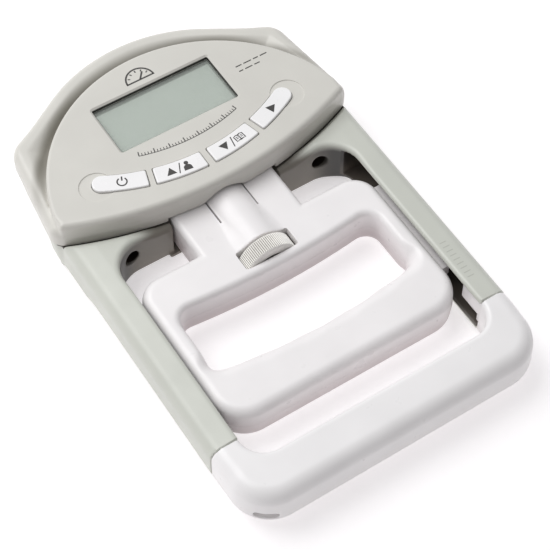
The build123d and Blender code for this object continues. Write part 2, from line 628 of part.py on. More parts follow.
def make_key(a0, a1, rounded, plunger):
    """Keycap with a retaining flange under the cover and a plunger over its dome."""
    cap = slab(key_sector(a0, a1, 0.0, rounded), KEY_FLANGE_Z, KEY_TOP_Z)
    cap = fillet(cap.faces().sort_by(Axis.Z)[-1].edges(), 0.5)
    flange = slab(key_sector(a0, a1, 0.75, rounded), KEY_FLANGE_Z, KEY_FLANGE_Z + 0.7)
    x, y = key_point(plunger)
    plunger_z = DOME_TOP_Z + KEY_TRAVEL + 0.1
    return cap + flange + post(x, y, 1.6, plunger_z, KEY_FLANGE_Z + 0.3)


def make_lens():
    """Clear window on the ledge of the cover."""
    x, y0, y1 = WINDOW_HALF_WIDTH - 0.15, WINDOW_Y0 + 0.15, WINDOW_Y1 - 0.15
    lens = block(-x, x, y0, y1, LENS_TOP_Z - 1.0, LENS_TOP_Z)
    return chamfer(lens.faces().sort_by(Axis.Z)[-1].edges(), 0.2)


def make_lcd():
    return block(-26.0, 26.0, WINDOW_Y0 - 1.0, WINDOW_Y1 + 1.0, LCD_Z0, LCD_Z1)


def make_lcd_holder():
    outer = block(-28.4, 28.4, WINDOW_Y0 - 3.2, WINDOW_Y1 + 3.2, BOARD_Z1, LCD_Z1 - 0.1)
    inner = block(-26.1, 26.1, WINDOW_Y0 - 1.1, WINDOW_Y1 + 1.1, BOARD_Z1 - 1, LCD_Z1 + 1)
    return outer - inner


def make_elastomers():
    strips = []
    for y in (WINDOW_Y0 + 0.6, WINDOW_Y1 - 0.6):
        strips.append(block(-25.0, 25.0, y - 1.1, y + 1.1, BOARD_Z1, LCD_Z0))
    return Compound(children=[s.solids()[0] for s in strips])


def make_chip():
    """Epoxy-covered controller under the board."""
    blob = Pos(23, 72, BOARD_Z0) * Cylinder(5.5, 1.6)
    blob = blob - block(-40, 60, 0, 120, BOARD_Z0, 30)
    return fillet(blob.faces().sort_by(Axis.Z)[0].edges(), 0.6)


# ---- battery compartment ------------------------------------------------------------------------
def make_door():
    """Battery door: flat plate that tilts about its upper end, with finger grooves at the other."""
    door = block(BAY_X0 - 0.6, BAY_X1 + 0.6, BAY_Y0 - 0.6, BAY_Y1 + 0.6, DOOR_Z0, DOOR_Z1)
    door = fillet(door.edges().filter_by(Axis.Z), 0.8)
    for n in range(4):
        y = BAY_Y0 + 3.0 + n * 1.6
        door = door - block(-47, -37, y - 0.3, y + 0.3, DOOR_Z0 - 1, DOOR_Z0 + 0.35)
    return door


def make_cells():
    cells = []
    for n, x in enumerate(CELL_XS):
        y0 = BAY_Y0 + (1.15 if n else 1.6)
        body = rod(CELL_RADIUS, y0, y0 + CELL_LENGTH - 0.9, x, CELL_Z)
        tip_y = (y0 - 0.8, y0) if n else (y0 + CELL_LENGTH - 0.9, y0 + CELL_LENGTH - 0.1)
        cells.append(body + rod(1.9, tip_y[0], tip_y[1], x, CELL_Z))
    return Compound(children=[c.solids()[0] for c in cells])


def make_springs():
    """Negative contacts: short conical coils, drawn as cones with a bore."""
    springs = []
    for n, x in enumerate(CELL_XS):
        y0 = BAY_Y0 + 0.3 if n == 0 else BAY_Y1 - 1.5
        ring = rod(3.4, y0, y0 + 1.2, x, CELL_Z) - rod(2.6, y0 - 1, y0 + 3, x, CELL_Z)
        springs.append(ring)
    return Compound(children=[s.solids()[0] for s in springs])


def make_contacts():
    bridge = block(BAY_X0 + 0.4, BAY_X1 - 0.4, BAY_Y1 - CONTACT, BAY_Y1, 3.4, 11.4)
    plates = [bridge]
    for x, tab_x in zip(CELL_XS, TAB_XS):
        plate = block(x - 4, x + 4, BAY_Y0, BAY_Y0 + CONTACT, 3.4, 11.4)
        tab = block(tab_x - 1, tab_x + 1, TAB_Y - 0.8, BAY_Y0 + CONTACT, TAB_Z - 0.7, TAB_Z)
        plates.append(plate + tab)
    return Compound(children=[p.solids()[0] for p in plates])


# ---- screws -------------------------------------------------------------------------------------
def screw_up(x, y, z_head, head_r, head_h, shank_r, length):
    """Screw driven upwards, with a cross recess in its head."""
    screw = post(x, y, head_r, z_head, z_head + head_h)
    screw = screw + post(x, y, shank_r, z_head + head_h, z_head + head_h + length)
    for turn in (0, 90):
        cross = Pos(x, y, z_head) * Rot(0, 0, turn) * Box(head_r * 1.2, 0.5, 1.0)
        screw = screw - cross
    return screw.solids()[0]


def screw_set(points, *sizes):
    return Compound(children=[screw_up(x, y, *sizes) for x, y in points])


# ---- leads --------------------------------------------------------------------------------------
def lead(points, bend):
    """Round lead along straight runs joined by tangent arcs."""
    path = FilletPolyline(*points, radius=bend)
    start = Plane(origin=path @ 0, z_dir=path % 0)
    return sweep(start * Circle(LEAD_RADIUS), path=path)


def make_battery_leads():
    """From the two solder tabs over the roof of the battery bay to the underside of the board."""
    leads = []
    for tab_x, board_point in zip(TAB_XS, ((-42.0, 38.0), (-33.0, 38.5))):
        over = BAY_ROOF_Z + 1.1
        x, y = board_point
        leads.append(lead([(tab_x, TAB_Y, TAB_Z), (tab_x, TAB_Y, over), (x, y, over), (x, y, BOARD_Z0)], 1.2))
    return Compound(children=[one.solids()[0] for one in leads])


def make_load_cell_leads():
    """From each strain gauge back and up to the board."""
    leads = []
    for side in (-1, 1):
        x, y = side * GAUGE_X, BEAM_Y1 + GAUGE_THICKNESS
        leads.append(lead([(x, y, AXIS_Z), (x, y + 4.8, AXIS_Z), (x, y + 4.8, BOARD_Z0)], 1.8))
    return Compound(children=[one.solids()[0] for one in leads])


if __name__ == "__main__":
    save("head_cover", make_head_cover())
    save("main_frame", make_frame())
    save("end_grip", make_end_grip())
    save("end_grip_plate", make_end_grip_plate())
    upper, lower = split_handle(make_handle())
    save("handle_upper_shell", upper)
    save("handle_lower_shell", lower)
    save("adjuster_wheel", make_wheel())
    save("adjuster_screw", make_screw())
    save("wheel_washers", make_washers())
    save("load_cell_beam", make_beam())
    save("strain_gauges", make_gauges())
    save("load_cell_bolts", make_beam_bolts())
    save("pull_nut", make_pull_nut())
    save("circuit_board", make_board())
    save("keypad_mat", make_mat())
    for name, sizes in LEFT_KEYS.items():
        key = make_key(*sizes)
        save(name, key)
        save(MIRRORED_KEYS[name], mirror(key, Plane.YZ))
    save("display_lens", make_lens())
    save("lcd_panel", make_lcd())
    save("lcd_holder", make_lcd_holder())
    save("elastomer_strips", make_elastomers())
    save("controller_chip", make_chip())
    save("battery_door", make_door())
    save("aaa_cells", make_cells())
    save("battery_springs", make_springs())
    save("battery_contacts", make_contacts())
    save("battery_leads", make_battery_leads())
    save("load_cell_leads", make_load_cell_leads())
    save("cover_screws", screw_set(COVER_SCREWS, 2.2, 2.5, 1.8, 1.1, 16.8))
    save("board_screws", screw_set(BOARD_SCREWS, BOARD_Z0 - 1.1, 1.9, 1.1, 0.8, 4.8))
    save("handle_screws", screw_set(HANDLE_SCREWS, 2.9, 2.1, 1.3, 1.0, 10.0))
    save("end_grip_screws", screw_set(GRIP_SCREWS, 2.25, 2.2, 0.85, 1.0, 7.0))
    sides = [(-TONGUE_SCREW[0], TONGUE_SCREW[1]), TONGUE_SCREW]
    save("tongue_screws", screw_set(sides, ARM_BOTTOM_Z + 0.1, 2.2, 1.0, 1.0, 9.0))
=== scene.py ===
"""Hand dynamometer, as a studio picture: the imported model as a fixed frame, with materials,
printed signs and finer skins where the moulded shape needs them.

Blender works in metres. All dimensions and fields here are in millimetres, in the same axes:
X right, Y towards the display head, Z up."""
import bpy
import bmesh
import math
import numpy as np
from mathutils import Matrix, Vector


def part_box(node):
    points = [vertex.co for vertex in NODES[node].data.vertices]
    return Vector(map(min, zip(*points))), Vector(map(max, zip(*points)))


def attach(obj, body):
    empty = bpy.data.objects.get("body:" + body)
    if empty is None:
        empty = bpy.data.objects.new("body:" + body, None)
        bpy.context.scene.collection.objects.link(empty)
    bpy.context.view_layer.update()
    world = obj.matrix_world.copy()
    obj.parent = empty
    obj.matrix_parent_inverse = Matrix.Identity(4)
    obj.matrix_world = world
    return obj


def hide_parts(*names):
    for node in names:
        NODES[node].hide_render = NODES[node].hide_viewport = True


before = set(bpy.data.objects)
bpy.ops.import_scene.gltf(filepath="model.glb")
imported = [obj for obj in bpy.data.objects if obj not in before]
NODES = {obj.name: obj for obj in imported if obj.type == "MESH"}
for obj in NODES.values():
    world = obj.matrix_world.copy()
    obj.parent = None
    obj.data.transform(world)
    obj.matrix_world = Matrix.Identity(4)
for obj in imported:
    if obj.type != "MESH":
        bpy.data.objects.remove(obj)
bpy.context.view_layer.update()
MM = 0.001

# Dimensions that several sections share, in millimetres.
AXIS_Z = 11.4  # height of the adjusting screw and the round holes
HOLE_X = 41.0  # round holes in the inner wall of the frame
INNER_WALL_Y = 17.0
FACE_Z = 28.4
KEY_TOP_Z = 29.0
SMILE_CENTRE_Y, SMILE_RADIUS = 170.6, 152.3  # curved lower edge of the head
ARC_CENTRE_Y, ARC_RADIUS = 25.2, 61.5  # edge of the raised face
WHEEL_RADIUS = 11.2
WHEEL_Y0, WHEEL_Y1 = -13.2, -7.5
RIM_Y0, RIM_Y1 = -14.0, -7.1  # the rim is wider than the hub
ARM_TOP_Z, ARM_LOW_Z = 20.8, 2.2
ARM_OUTER_X, ARM_INNER_X = 61.4, 50.3


def box_mm(node):
    """Lowest and highest corner of a CAD node, in millimetres."""
    low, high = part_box(node)
    return [v / MM for v in low], [v / MM for v in high]


# ---- distance fields ----
def both(a, b, radius):
    """Common part of two fields, with a round edge."""
    u, v = np.maximum(a + radius, 0), np.maximum(b + radius, 0)
    return np.minimum(np.maximum(a, b), -radius) + np.hypot(u, v)


def either(a, b, radius):
    """Union of two fields, with a concave fillet where they meet."""
    u, v = np.maximum(radius - a, 0), np.maximum(radius - b, 0)
    return np.maximum(np.minimum(a, b), radius) - np.hypot(u, v)


def span(value, low, high):
    """Distance out of an interval."""
    return np.maximum(low - value, value - high)


def smooth_step(value, start, end):
    """From 0 at start to 1 at end, level at both."""
    t = np.clip((value - start) / (end - start), 0.0, 1.0)
    return t * t * (3 - 2 * t)


def surface_net(field, low, high, step):
    """Quads on the zero surface of a field, one vertex per crossed cell."""
    counts = [int(math.ceil((b - a) / step)) + 1 for a, b in zip(low, high)]
    axes = [a + step * np.arange(n) for a, n in zip(low, counts)]
    grid = np.stack(np.meshgrid(*axes, indexing="ij"), axis=-1)
    values = field(grid[..., 0], grid[..., 1], grid[..., 2])
    cells = [n - 1 for n in counts]

    def part(axis, along, first, second):
        """Index of a block, from one slice along the axis and one along each of the others."""
        index = [None] * 3
        index[axis], index[(axis + 1) % 3], index[(axis + 2) % 3] = along, first, second
        return tuple(index)

    def shifted(axis, i, j, less):
        """Block of the cells round an edge: first or second in each of the other directions."""
        first, second = cells[(axis + 1) % 3] - less, cells[(axis + 2) % 3] - less
        return part(axis, slice(None), slice(i, i + first), slice(j, j + second))

    total, hits = np.zeros((*cells, 3)), np.zeros(cells)
    crossings = []
    for axis in range(3):
        lower = part(axis, slice(0, -1), slice(None), slice(None))
        upper = part(axis, slice(1, None), slice(None), slice(None))
        f0, f1 = values[lower], values[upper]
        crossed = (f0 < 0) != (f1 < 0)
        crossings.append((crossed, f0 < 0))
        share = np.where(crossed, f0 / np.where(crossed, f0 - f1, 1.0), 0.0)
        point = grid[lower].copy()
        point[..., axis] += share * step
        point *= crossed[..., None]
        for i in (0, 1):
            for j in (0, 1):
                total += point[shifted(axis, i, j, 0)]
                hits += crossed[shifted(axis, i, j, 0)]
    used = hits > 0
    index = np.full(cells, -1)
    index[used] = np.arange(used.sum())
    quads = []
    for axis in range(3):
        inner = part(axis, slice(None), slice(1, -1), slice(1, -1))
        crossed, rising = [values[inner] for values in crossings[axis]]
        corners = ((0, 0), (1, 0), (1, 1), (0, 1))
        ring = [index[shifted(axis, i, j, 1)][crossed] for i, j in corners]
        ring = np.stack(ring, axis=1)
        quads.append(np.where(rising[crossed][:, None], ring, ring[:, ::-1]))
    return total[used] / hits[used][:, None], np.concatenate(quads)


def settle(field, points, quads, rounds=4, reach=0.6):
    """Evens out the vertices along the surface and moves them back onto it."""
    gap = 0.02
    for _ in range(rounds):
        total, hits = np.zeros_like(points), np.zeros(len(points))
        for k in range(4):
            np.add.at(total, quads[:, k], points[quads[:, (k + 1) % 4]])
            np.add.at(hits, quads[:, k], 1)
        points = points + reach * (total / np.maximum(hits, 1)[:, None] - points)
        for _ in range(2):
            value = field(points[:, 0], points[:, 1], points[:, 2])
            slope = np.empty_like(points)
            for axis in range(3):
                moved = points.copy()
                moved[:, axis] += gap
                slope[:, axis] = (field(moved[:, 0], moved[:, 1], moved[:, 2]) - value) / gap
            size = np.maximum((slope ** 2).sum(axis=1), 0.05)
            points = points - np.clip(value, -0.5, 0.5)[:, None] * slope / size[:, None]
    return points


def field_mesh(name, field, low, high, step):
    """Closed Blender object, in metres, on the zero surface of a field in millimetres."""
    inset = 1.02 * step

    def closed(x, y, z):
        limits = [span(v, a + inset, b - inset) for v, a, b in zip((x, y, z), low, high)]
        return np.maximum(field(x, y, z), np.maximum(np.maximum(limits[0], limits[1]), limits[2]))

    points, quads = surface_net(closed, low, high, step)
    points = settle(closed, points, quads) * MM
    mesh = bpy.data.meshes.new(name)
    mesh.vertices.add(len(points))
    mesh.vertices.foreach_set("co", points.ravel())
    mesh.loops.add(quads.size)
    mesh.loops.foreach_set("vertex_index", quads.ravel())
    mesh.polygons.add(len(quads))
    mesh.polygons.foreach_set("loop_start", np.arange(0, quads.size, 4))
    mesh.update(calc_edges=True)
    mesh.validate()
    return link_new(name, mesh)


# ---- mesh helpers ----
def link_new(name, data):
    """New object in the scene, with a mesh, light or camera as its data."""
    piece = bpy.data.objects.new(name, data)
    bpy.context.scene.collection.objects.link(piece)
    return piece


def make_object(name, bm):
    """Blender object from a bmesh, which is freed."""
    mesh = bpy.data.meshes.new(name)
    bm.to_mesh(mesh)
    bm.free()
    return link_new(name, mesh)


def add_ring(bm, points):
    """Vertices at points in millimetres."""
    return [bm.verts.new((x * MM, y * MM, z * MM)) for x, y, z in points]


def join_rings(bm, rings, around=False):
    """Quads from each ring to the next one, and with around from the last one to the first."""
    following = rings[1:] + rings[:1] if around else rings[1:]
    for a, b in zip(rings, following):
        for k in range(len(a)):
            n = (k + 1) % len(a)
            bm.faces.new((a[k], a[n], b[n], b[k]))


def close_ends(bm, rings):
    bm.faces.new(rings[0][::-1])
    bm.faces.new(rings[-1])


def slice_flat(piece, z, keep_above):
    """Cuts a piece flat at a height."""
    reach, tall = 150.0, 60.0
    side = [(-reach, -reach), (reach, -reach), (reach, reach), (-reach, reach)]
    z0, z1 = (z - tall, z) if keep_above else (z, z + tall)
    cut_out(piece, [prism("slice", side, z0, z1)])


def prism(name, outline, z0, z1, flare=0.0, lip=0.35):
    """Solid with a plan outline; the top of it, as high as lip, opens out by flare."""
    bm = bmesh.new()
    levels = [(z0, 0.0), (z1 - lip, 0.0), (z1, flare)] if flare else [(z0, 0.0), (z1, 0.0)]
    rings = []
    for z, grow in levels:
        points = []
        for k, (x, y) in enumerate(outline):
            along = np.array(outline[(k + 1) % len(outline)]) - np.array(outline[k - 1])
            along = along / max(np.hypot(*along), 1e-9)
            points.append((*(np.array((x, y)) + np.array((along[1], -along[0])) * grow), z))
        rings.append(add_ring(bm, points))
    join_rings(bm, rings)
    close_ends(bm, rings)
    bmesh.ops.recalc_face_normals(bm, faces=bm.faces[:])
    return make_object(name, bm)


def lathe(name, x, y, profile, points=32):
    """Solid turned about a vertical axis: radius and height pairs, from bottom to top."""
    bm = bmesh.new()
    turns = [2 * math.pi * k / points for k in range(points)]
    rings = []
    for radius, z in profile:
        circle = [(x + radius * math.cos(turn), y + radius * math.sin(turn), z) for turn in turns]
        rings.append(add_ring(bm, circle))
    join_rings(bm, rings)
    close_ends(bm, rings)
    return make_object(name, bm)


def cut_out(piece, cutters):
    """Boolean difference with cutters that don't touch each other, which are then deleted."""
    bm = bmesh.new()
    for cutter in cutters:
        bm.from_mesh(cutter.data)
        bpy.data.objects.remove(cutter)
    tool = make_object("tool", bm)
    mod = piece.modifiers.new("cut", "BOOLEAN")
    mod.operation = "DIFFERENCE"
    mod.solver = "EXACT"
    mod.object = tool
    apply_modifiers(piece)
    bpy.data.objects.remove(tool)
    close_pinholes(piece)


def close_pinholes(piece):
    """Fills the tiny openings that a boolean can leave where its cut grazes a vertex."""
    bm = bmesh.new()
    bm.from_mesh(piece.data)
    rims = [edge for edge in bm.edges if edge.is_boundary]
    if rims:
        bmesh.ops.holes_fill(bm, edges=rims, sides=6)
        bm.to_mesh(piece.data)
    bm.free()


def apply_modifiers(piece):
    """Makes what the modifiers give the piece's own mesh."""
    graph = bpy.context.evaluated_depsgraph_get()
    mesh = bpy.data.meshes.new_from_object(piece.evaluated_get(graph))
    piece.modifiers.clear()
    old = piece.data
    piece.data = mesh
    bpy.data.meshes.remove(old)


def shade(piece, angle):
    """Smooth shading with crisp edges above an angle."""
    piece.data.polygons.foreach_set("use_smooth", [True] * len(piece.data.polygons))
    piece.data.set_sharp_from_angle(angle=math.radians(angle))
    weighted = piece.modifiers.new("even_normals", "WEIGHTED_NORMAL")
    weighted.keep_sharp = True
    weighted.weight = 60


def stand_for(piece, mat, body, slot, *nodes):
    """Finish and ride of a piece that replaces CAD nodes."""
    piece.data.materials.clear()
    piece.data.materials.append(mat)
    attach(piece, body)
    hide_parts(*nodes)


# ---- node helpers ----
def srgb(r, g, b):
    """Linear colour from 0-255 display values."""
    def linear(value):
        value = value / 255
        return value / 12.92 if value <= 0.04045 else ((value + 0.055) / 1.055) ** 2.4
    return (linear(r), linear(g), linear(b), 1.0)


def new_material(name):
    """A material, its node tree and its shader."""
    mat = bpy.data.materials.new(name)
    mat.use_nodes = True
    tree = mat.node_tree
    return mat, tree, tree.nodes["Principled BSDF"]


def noise(tree, scale, detail):
    """Noise over the object's own coordinates; scale is in cycles per metre."""
    coords = tree.nodes.new("ShaderNodeTexCoord")
    node = tree.nodes.new("ShaderNodeTexNoise")
    node.inputs["Scale"].default_value = scale
    node.inputs["Detail"].default_value = detail
    tree.links.new(coords.outputs["Object"], node.inputs["Vector"])
    return node.outputs["Fac"]


def ramp(tree, source, *stops):
    """Colour ramp between two stops, each a place and a colour."""
    node = tree.nodes.new("ShaderNodeValToRGB")
    for element, stop in zip(node.color_ramp.elements, stops):
        element.position, element.color = stop
    tree.links.new(source, node.inputs["Fac"])
    return node.outputs["Color"]


def bump(tree, source, strength, distance, normal=None):
    node = tree.nodes.new("ShaderNodeBump")
    node.inputs["Strength"].default_value = strength
    node.inputs["Distance"].default_value = distance
    tree.links.new(source, node.inputs["Height"])
    if normal is not None:
        tree.links.new(normal, node.inputs["Normal"])
    return node.outputs["Normal"]


def grey(value):
    return (value, value, value, 1.0)


def math_node(tree, operation, a, b=None):
    """Math node; a and b are sockets or numbers."""
    node = tree.nodes.new("ShaderNodeMath")
    node.operation = operation
    for socket, value in zip(node.inputs, (a, b)):
        if value is None:
            continue
        if isinstance(value, (int, float)):
            socket.default_value = value
        else:
            tree.links.new(value, socket)
    return node.outputs[0]


def coordinates(tree, kind):
    """Object or generated coordinates, as three sockets."""
    coords = tree.nodes.new("ShaderNodeTexCoord")
    parts = tree.nodes.new("ShaderNodeSeparateXYZ")
    tree.links.new(coords.outputs[kind], parts.inputs[0])
    return list(parts.outputs)


def folded_coordinates(tree):
    """Object coordinates in metres, with X folded to one side."""
    x, y, z = coordinates(tree, "Object")
    return [math_node(tree, "ABSOLUTE", x), y, z]


def length_node(tree, a, b):
    """Length of a vector with two parts."""
    squares = [math_node(tree, "MULTIPLY", part, part) for part in (a, b)]
    return math_node(tree, "SQRT", math_node(tree, "ADD", *squares))


def fade(tree, value, start, end):
    """Smooth step of a socket, from 0 at start to 1 at end, both in millimetres."""
    node = tree.nodes.new("ShaderNodeMapRange")
    node.interpolation_type = "SMOOTHSTEP"
    node.inputs["From Min"].default_value = start * MM
    node.inputs["From Max"].default_value = end * MM
    tree.links.new(value, node.inputs["Value"])
    return node.outputs["Result"]


def within(tree, *steps):
    """Product of fades, each a socket with its start and end."""
    result = fade(tree, *steps[0])
    for step in steps[1:]:
        result = math_node(tree, "MULTIPLY", result, fade(tree, *step))
    return result


def blend_colour(tree, share, a, b, most=1.0):
    """Mix of two sockets or colours, with at most that much of the second."""
    if most < 1.0:
        share = math_node(tree, "MULTIPLY", share, most)
    node = tree.nodes.new("ShaderNodeMix")
    node.data_type = "RGBA"
    tree.links.new(share, node.inputs["Factor"])
    for name, value in (("A", a), ("B", b)):
        socket = [i for i in node.inputs if i.name == name and i.type == "RGBA"][0]
        if isinstance(value, tuple):
            socket.default_value = value
        else:
            tree.links.new(value, socket)
    return [o for o in node.outputs if o.type == "RGBA"][0]


def base_colour(mat):
    """A material's tree, its colour socket and what is linked to that now."""
    socket = mat.node_tree.nodes["Principled BSDF"].inputs["Base Color"]
    return mat.node_tree, socket, socket.links[0].from_socket


# ---- materials ----
def mottled(name, tint, gloss):
    """New material; its colour and its roughness are each noise between two stops."""
    mat, tree, bsdf = new_material(name)
    for socket, (scale, detail, *stops) in (("Base Color", tint), ("Roughness", gloss)):
        tree.links.new(ramp(tree, noise(tree, scale, detail), *stops), bsdf.inputs[socket])
    return mat, tree, bsdf


def plastic(name, colour, roughness, grain=0.02, tone=0.03):
    """Injection-moulded plastic: slow tone drift, uneven gloss and a fine spark-eroded grain."""
    low = tuple(c * (1 - tone) for c in colour[:3]) + (1.0,)
    high = tuple(min(1.0, c * (1 + tone)) for c in colour[:3]) + (1.0,)
    gloss = (0.3, grey(roughness - 0.05)), (0.75, grey(roughness + 0.07))
    mat, tree, bsdf = mottled(name, (45.0, 3.0, (0.3, low), (0.7, high)), (160.0, 6.0, *gloss))
    fine = bump(tree, noise(tree, 4200.0, 2.0), grain, 0.0001)
    wide = bump(tree, noise(tree, 90.0, 2.0), 0.012, 0.001, fine)
    tree.links.new(wide, bsdf.inputs["Normal"])
    bsdf.inputs["IOR"].default_value = 1.52
    return mat


def painted_wall_shade(tree, colour, across, along, up):
    """Painted shade on the frame's inner wall behind the handle, darker towards the arms."""
    wall = within(tree, (across, 51.6, 50.9), (along, 0.0, 7.0), (along, 30.0, 18.0),
                  (up, 20.2, 17.0))
    deep = blend_colour(tree, fade(tree, across, 36.0, 47.0), srgb(118, 112, 103), srgb(22, 19, 17))
    return blend_colour(tree, wall, colour, deep, 0.93)


def painted_channel_shade(tree, colour, across, along, up):
    """Painted shade in the channels that the handle's ribs and the end grip's tongues run in,
    darkest towards the top.
    """
    channel = within(tree, (across, 45.3, 45.9), (across, 59.2, 58.8), (up, 3.8, 4.2),
                     (up, 18.7, 18.2), (along, 12.8, 12.2))
    inside = blend_colour(tree, fade(tree, up, 14.0, 5.0), srgb(44, 40, 37), srgb(92, 85, 78))
    return blend_colour(tree, channel, colour, inside)


def painted_hole_shade(tree, colour, across, along, up):
    """Painted shade in the two round holes in the inner wall."""
    radius = length_node(tree, math_node(tree, "SUBTRACT", across, HOLE_X * MM),
                         math_node(tree, "SUBTRACT", up, AXIS_Z * MM))
    hole = within(tree, (radius, 3.4, 3.2), (along, 17.3, 17.8), (along, 26.0, 25.0))
    return blend_colour(tree, hole, colour, srgb(38, 31, 26))


def painted_seam_shade(tree, colour, across, along, up):
    """Painted shade in the gap where the tray meets the head cover."""
    reach = length_node(tree, across, math_node(tree, "SUBTRACT", along, SMILE_CENTRE_Y * MM))
    seam = within(tree, (reach, SMILE_RADIUS - 1.4, SMILE_RADIUS - 1.1),
                  (reach, SMILE_RADIUS + 1.1, SMILE_RADIUS + 0.8),
                  (up, 16.2, 16.45), (up, 18.2, 17.9))
    return blend_colour(tree, seam, colour, srgb(66, 62, 56))


def arm_scale(tree, colour, across, along, up):
    """Faint position scale on the right arm, with a line every 2.125 mm."""
    pitch, first, half_width = 2.125, 43.5, 0.085
    steps = math_node(tree, "DIVIDE", math_node(tree, "ADD", along, first * MM), pitch * MM)
    phase = math_node(tree, "FRACT", math_node(tree, "ADD", steps, 0.5))
    phase = math_node(tree, "ABSOLUTE", math_node(tree, "SUBTRACT", phase, 0.5))
    line = math_node(tree, "LESS_THAN", phase, half_width)
    right = coordinates(tree, "Object")[0]
    field = within(tree, (right, 52.5, 52.7), (right, 55.6, 55.3), (along, -61.0, -60.8),
                   (along, -43.2, -43.4), (up, 19.0, 19.3))
    ticks = math_node(tree, "MULTIPLY", line, field)
    return blend_colour(tree, ticks, colour, srgb(150, 150, 140), 0.4)


def paint_frame_shade_and_scale(mat):
    """Painted shade inside the frame, in its channels and holes and in the seam under the head; and
    the scale.
    """
    tree, socket, colour = base_colour(mat)
    axes = folded_coordinates(tree)
    for step in (painted_wall_shade, painted_channel_shade, painted_hole_shade, painted_seam_shade, arm_scale):
        colour = step(tree, colour, *axes)
    tree.links.new(colour, socket)


def painted_cove_shade(mat):
    """Painted shade at the bottom of the cove around the raised face, which makes the plastic
    slightly darker there.
    """
    tree, socket, base = base_colour(mat)
    across, along, up = folded_coordinates(tree)
    radius = length_node(tree, across, math_node(tree, "SUBTRACT", along, ARC_CENTRE_Y * MM))
    cove = within(tree, (radius, 61.3, 61.9), (radius, 68.0, 64.4), (up, 28.2, 26.4),
                  (up, 17.0, 20.5), (along, 40.0, 66.0))
    tree.links.new(blend_colour(tree, cove, base, srgb(124, 120, 110), 0.9), socket)


def painted_foot_shade(mat, top, bottom, share):
    """White plastic with painted shade, a little greyer and warmer low on its walls, down to the
    underside.
    """
    tree, socket, base = base_colour(mat)
    up = folded_coordinates(tree)[2]
    wall = within(tree, (up, top, bottom), (up, 2.3, 3.6))
    tree.links.new(blend_colour(tree, wall, base, srgb(198, 188, 189), share), socket)


def painted_cell_shadow(mat):
    """Liquid crystal cell with a painted shadow along its top and side edges, under the edge of the
    case.
    """
    tree, socket, base = base_colour(mat)
    across, along, _ = folded_coordinates(tree)
    edge = math_node(tree, "MAXIMUM", fade(tree, along, 70.4, 71.0), fade(tree, across, 24.3, 24.8))
    tree.links.new(blend_colour(tree, edge, base, srgb(96, 99, 94), 0.8), socket)


def metal(name, colour, roughness, metallic=1.0, scratch=0.03):
    """Metal with uneven gloss and fine drawing marks."""
    low = tuple(c * 0.9 for c in colour[:3]) + (1.0,)
    gloss = (0.3, grey(roughness - 0.08)), (0.7, grey(roughness + 0.1))
    mat, tree, bsdf = mottled(name, (260.0, 4.0, (0.35, low), (0.65, colour)), (900.0, 5.0, *gloss))
    tree.links.new(bump(tree, noise(tree, 2600.0, 3.0), scratch, 0.0001), bsdf.inputs["Normal"])
    bsdf.inputs["Metallic"].default_value = metallic
    return mat


def knurled(name):
    """Ivory-lacquered knurling, with painted shade in the grooves; the crests keep the plain ivory.
    """
    mat = metal(name, srgb(255, 253, 248), 0.34, 0.0)
    tree, socket, base = base_colour(mat)
    across, along, up = folded_coordinates(tree)
    radius = length_node(tree, across, math_node(tree, "SUBTRACT", up, AXIS_Z * MM))
    # Painted shade in the bottoms of the teeth.
    groove_shade = within(tree, (radius, WHEEL_RADIUS - 0.12, WHEEL_RADIUS - 0.36),
                    (along, RIM_Y0 + 0.35, RIM_Y0 + 0.8), (along, RIM_Y1 - 0.35, RIM_Y1 - 0.8))
    tree.links.new(blend_colour(tree, groove_shade, base, srgb(146, 140, 128)), socket)
    return mat


def window_clear(name):
    """Clear acrylic with a faint haze and the odd fine scratch."""
    haze = (0.35, srgb(205, 212, 204)), (0.65, srgb(214, 220, 213))
    gloss = (0.35, grey(0.05)), (0.7, grey(0.11))
    mat, tree, bsdf = mottled(name, (700.0, 5.0, *haze), (240.0, 5.0, *gloss))
    tree.links.new(bump(tree, noise(tree, 60.0, 2.0), 0.02, 0.0005), bsdf.inputs["Normal"])
    bsdf.inputs["Alpha"].default_value = 0.22
    bsdf.inputs["IOR"].default_value = 1.49
    return mat


def assign(mat, *names):
    """Gives CAD nodes a material."""
    for name in names:
        node = NODES[name]
        node.data.materials.clear()
        node.data.materials.append(mat)


BODY_GREY = srgb(207, 209, 200)
body_plastic = plastic("body_plastic", BODY_GREY, 0.36)
# Painted shade on the frame's inner wall and in its channels, holes and seam.
paint_frame_shade_and_scale(body_plastic)
face_plastic = plastic("face_plastic", srgb(215, 213, 206), 0.34)
# Painted shade at the bottom of the cove around the raised face.
painted_cove_shade(face_plastic)
white_plastic = plastic("white_plastic", srgb(245, 243, 243), 0.32)
# Painted shade low on the walls of the white parts.
painted_foot_shade(white_plastic, 12.0, 2.0, 0.35)
handle_plastic = plastic("handle_plastic", srgb(247, 244, 244), 0.32)
# Painted shade low on the handle's walls.
painted_foot_shade(handle_plastic, 18.0, 5.0, 1.0)
dark_plastic = plastic("dark_plastic", srgb(52, 50, 47), 0.5, 0.04, 0.08)
print_ink = plastic("print_ink", srgb(64, 62, 60), 0.5, 0.03, 0.1)
lcd_glass = plastic("lcd_glass", srgb(199, 208, 200), 0.22, 0.01)
# Painted shadow at the top and side edges of the display cell.
painted_cell_shadow(lcd_glass)
wheel_metal = knurled("wheel_metal")

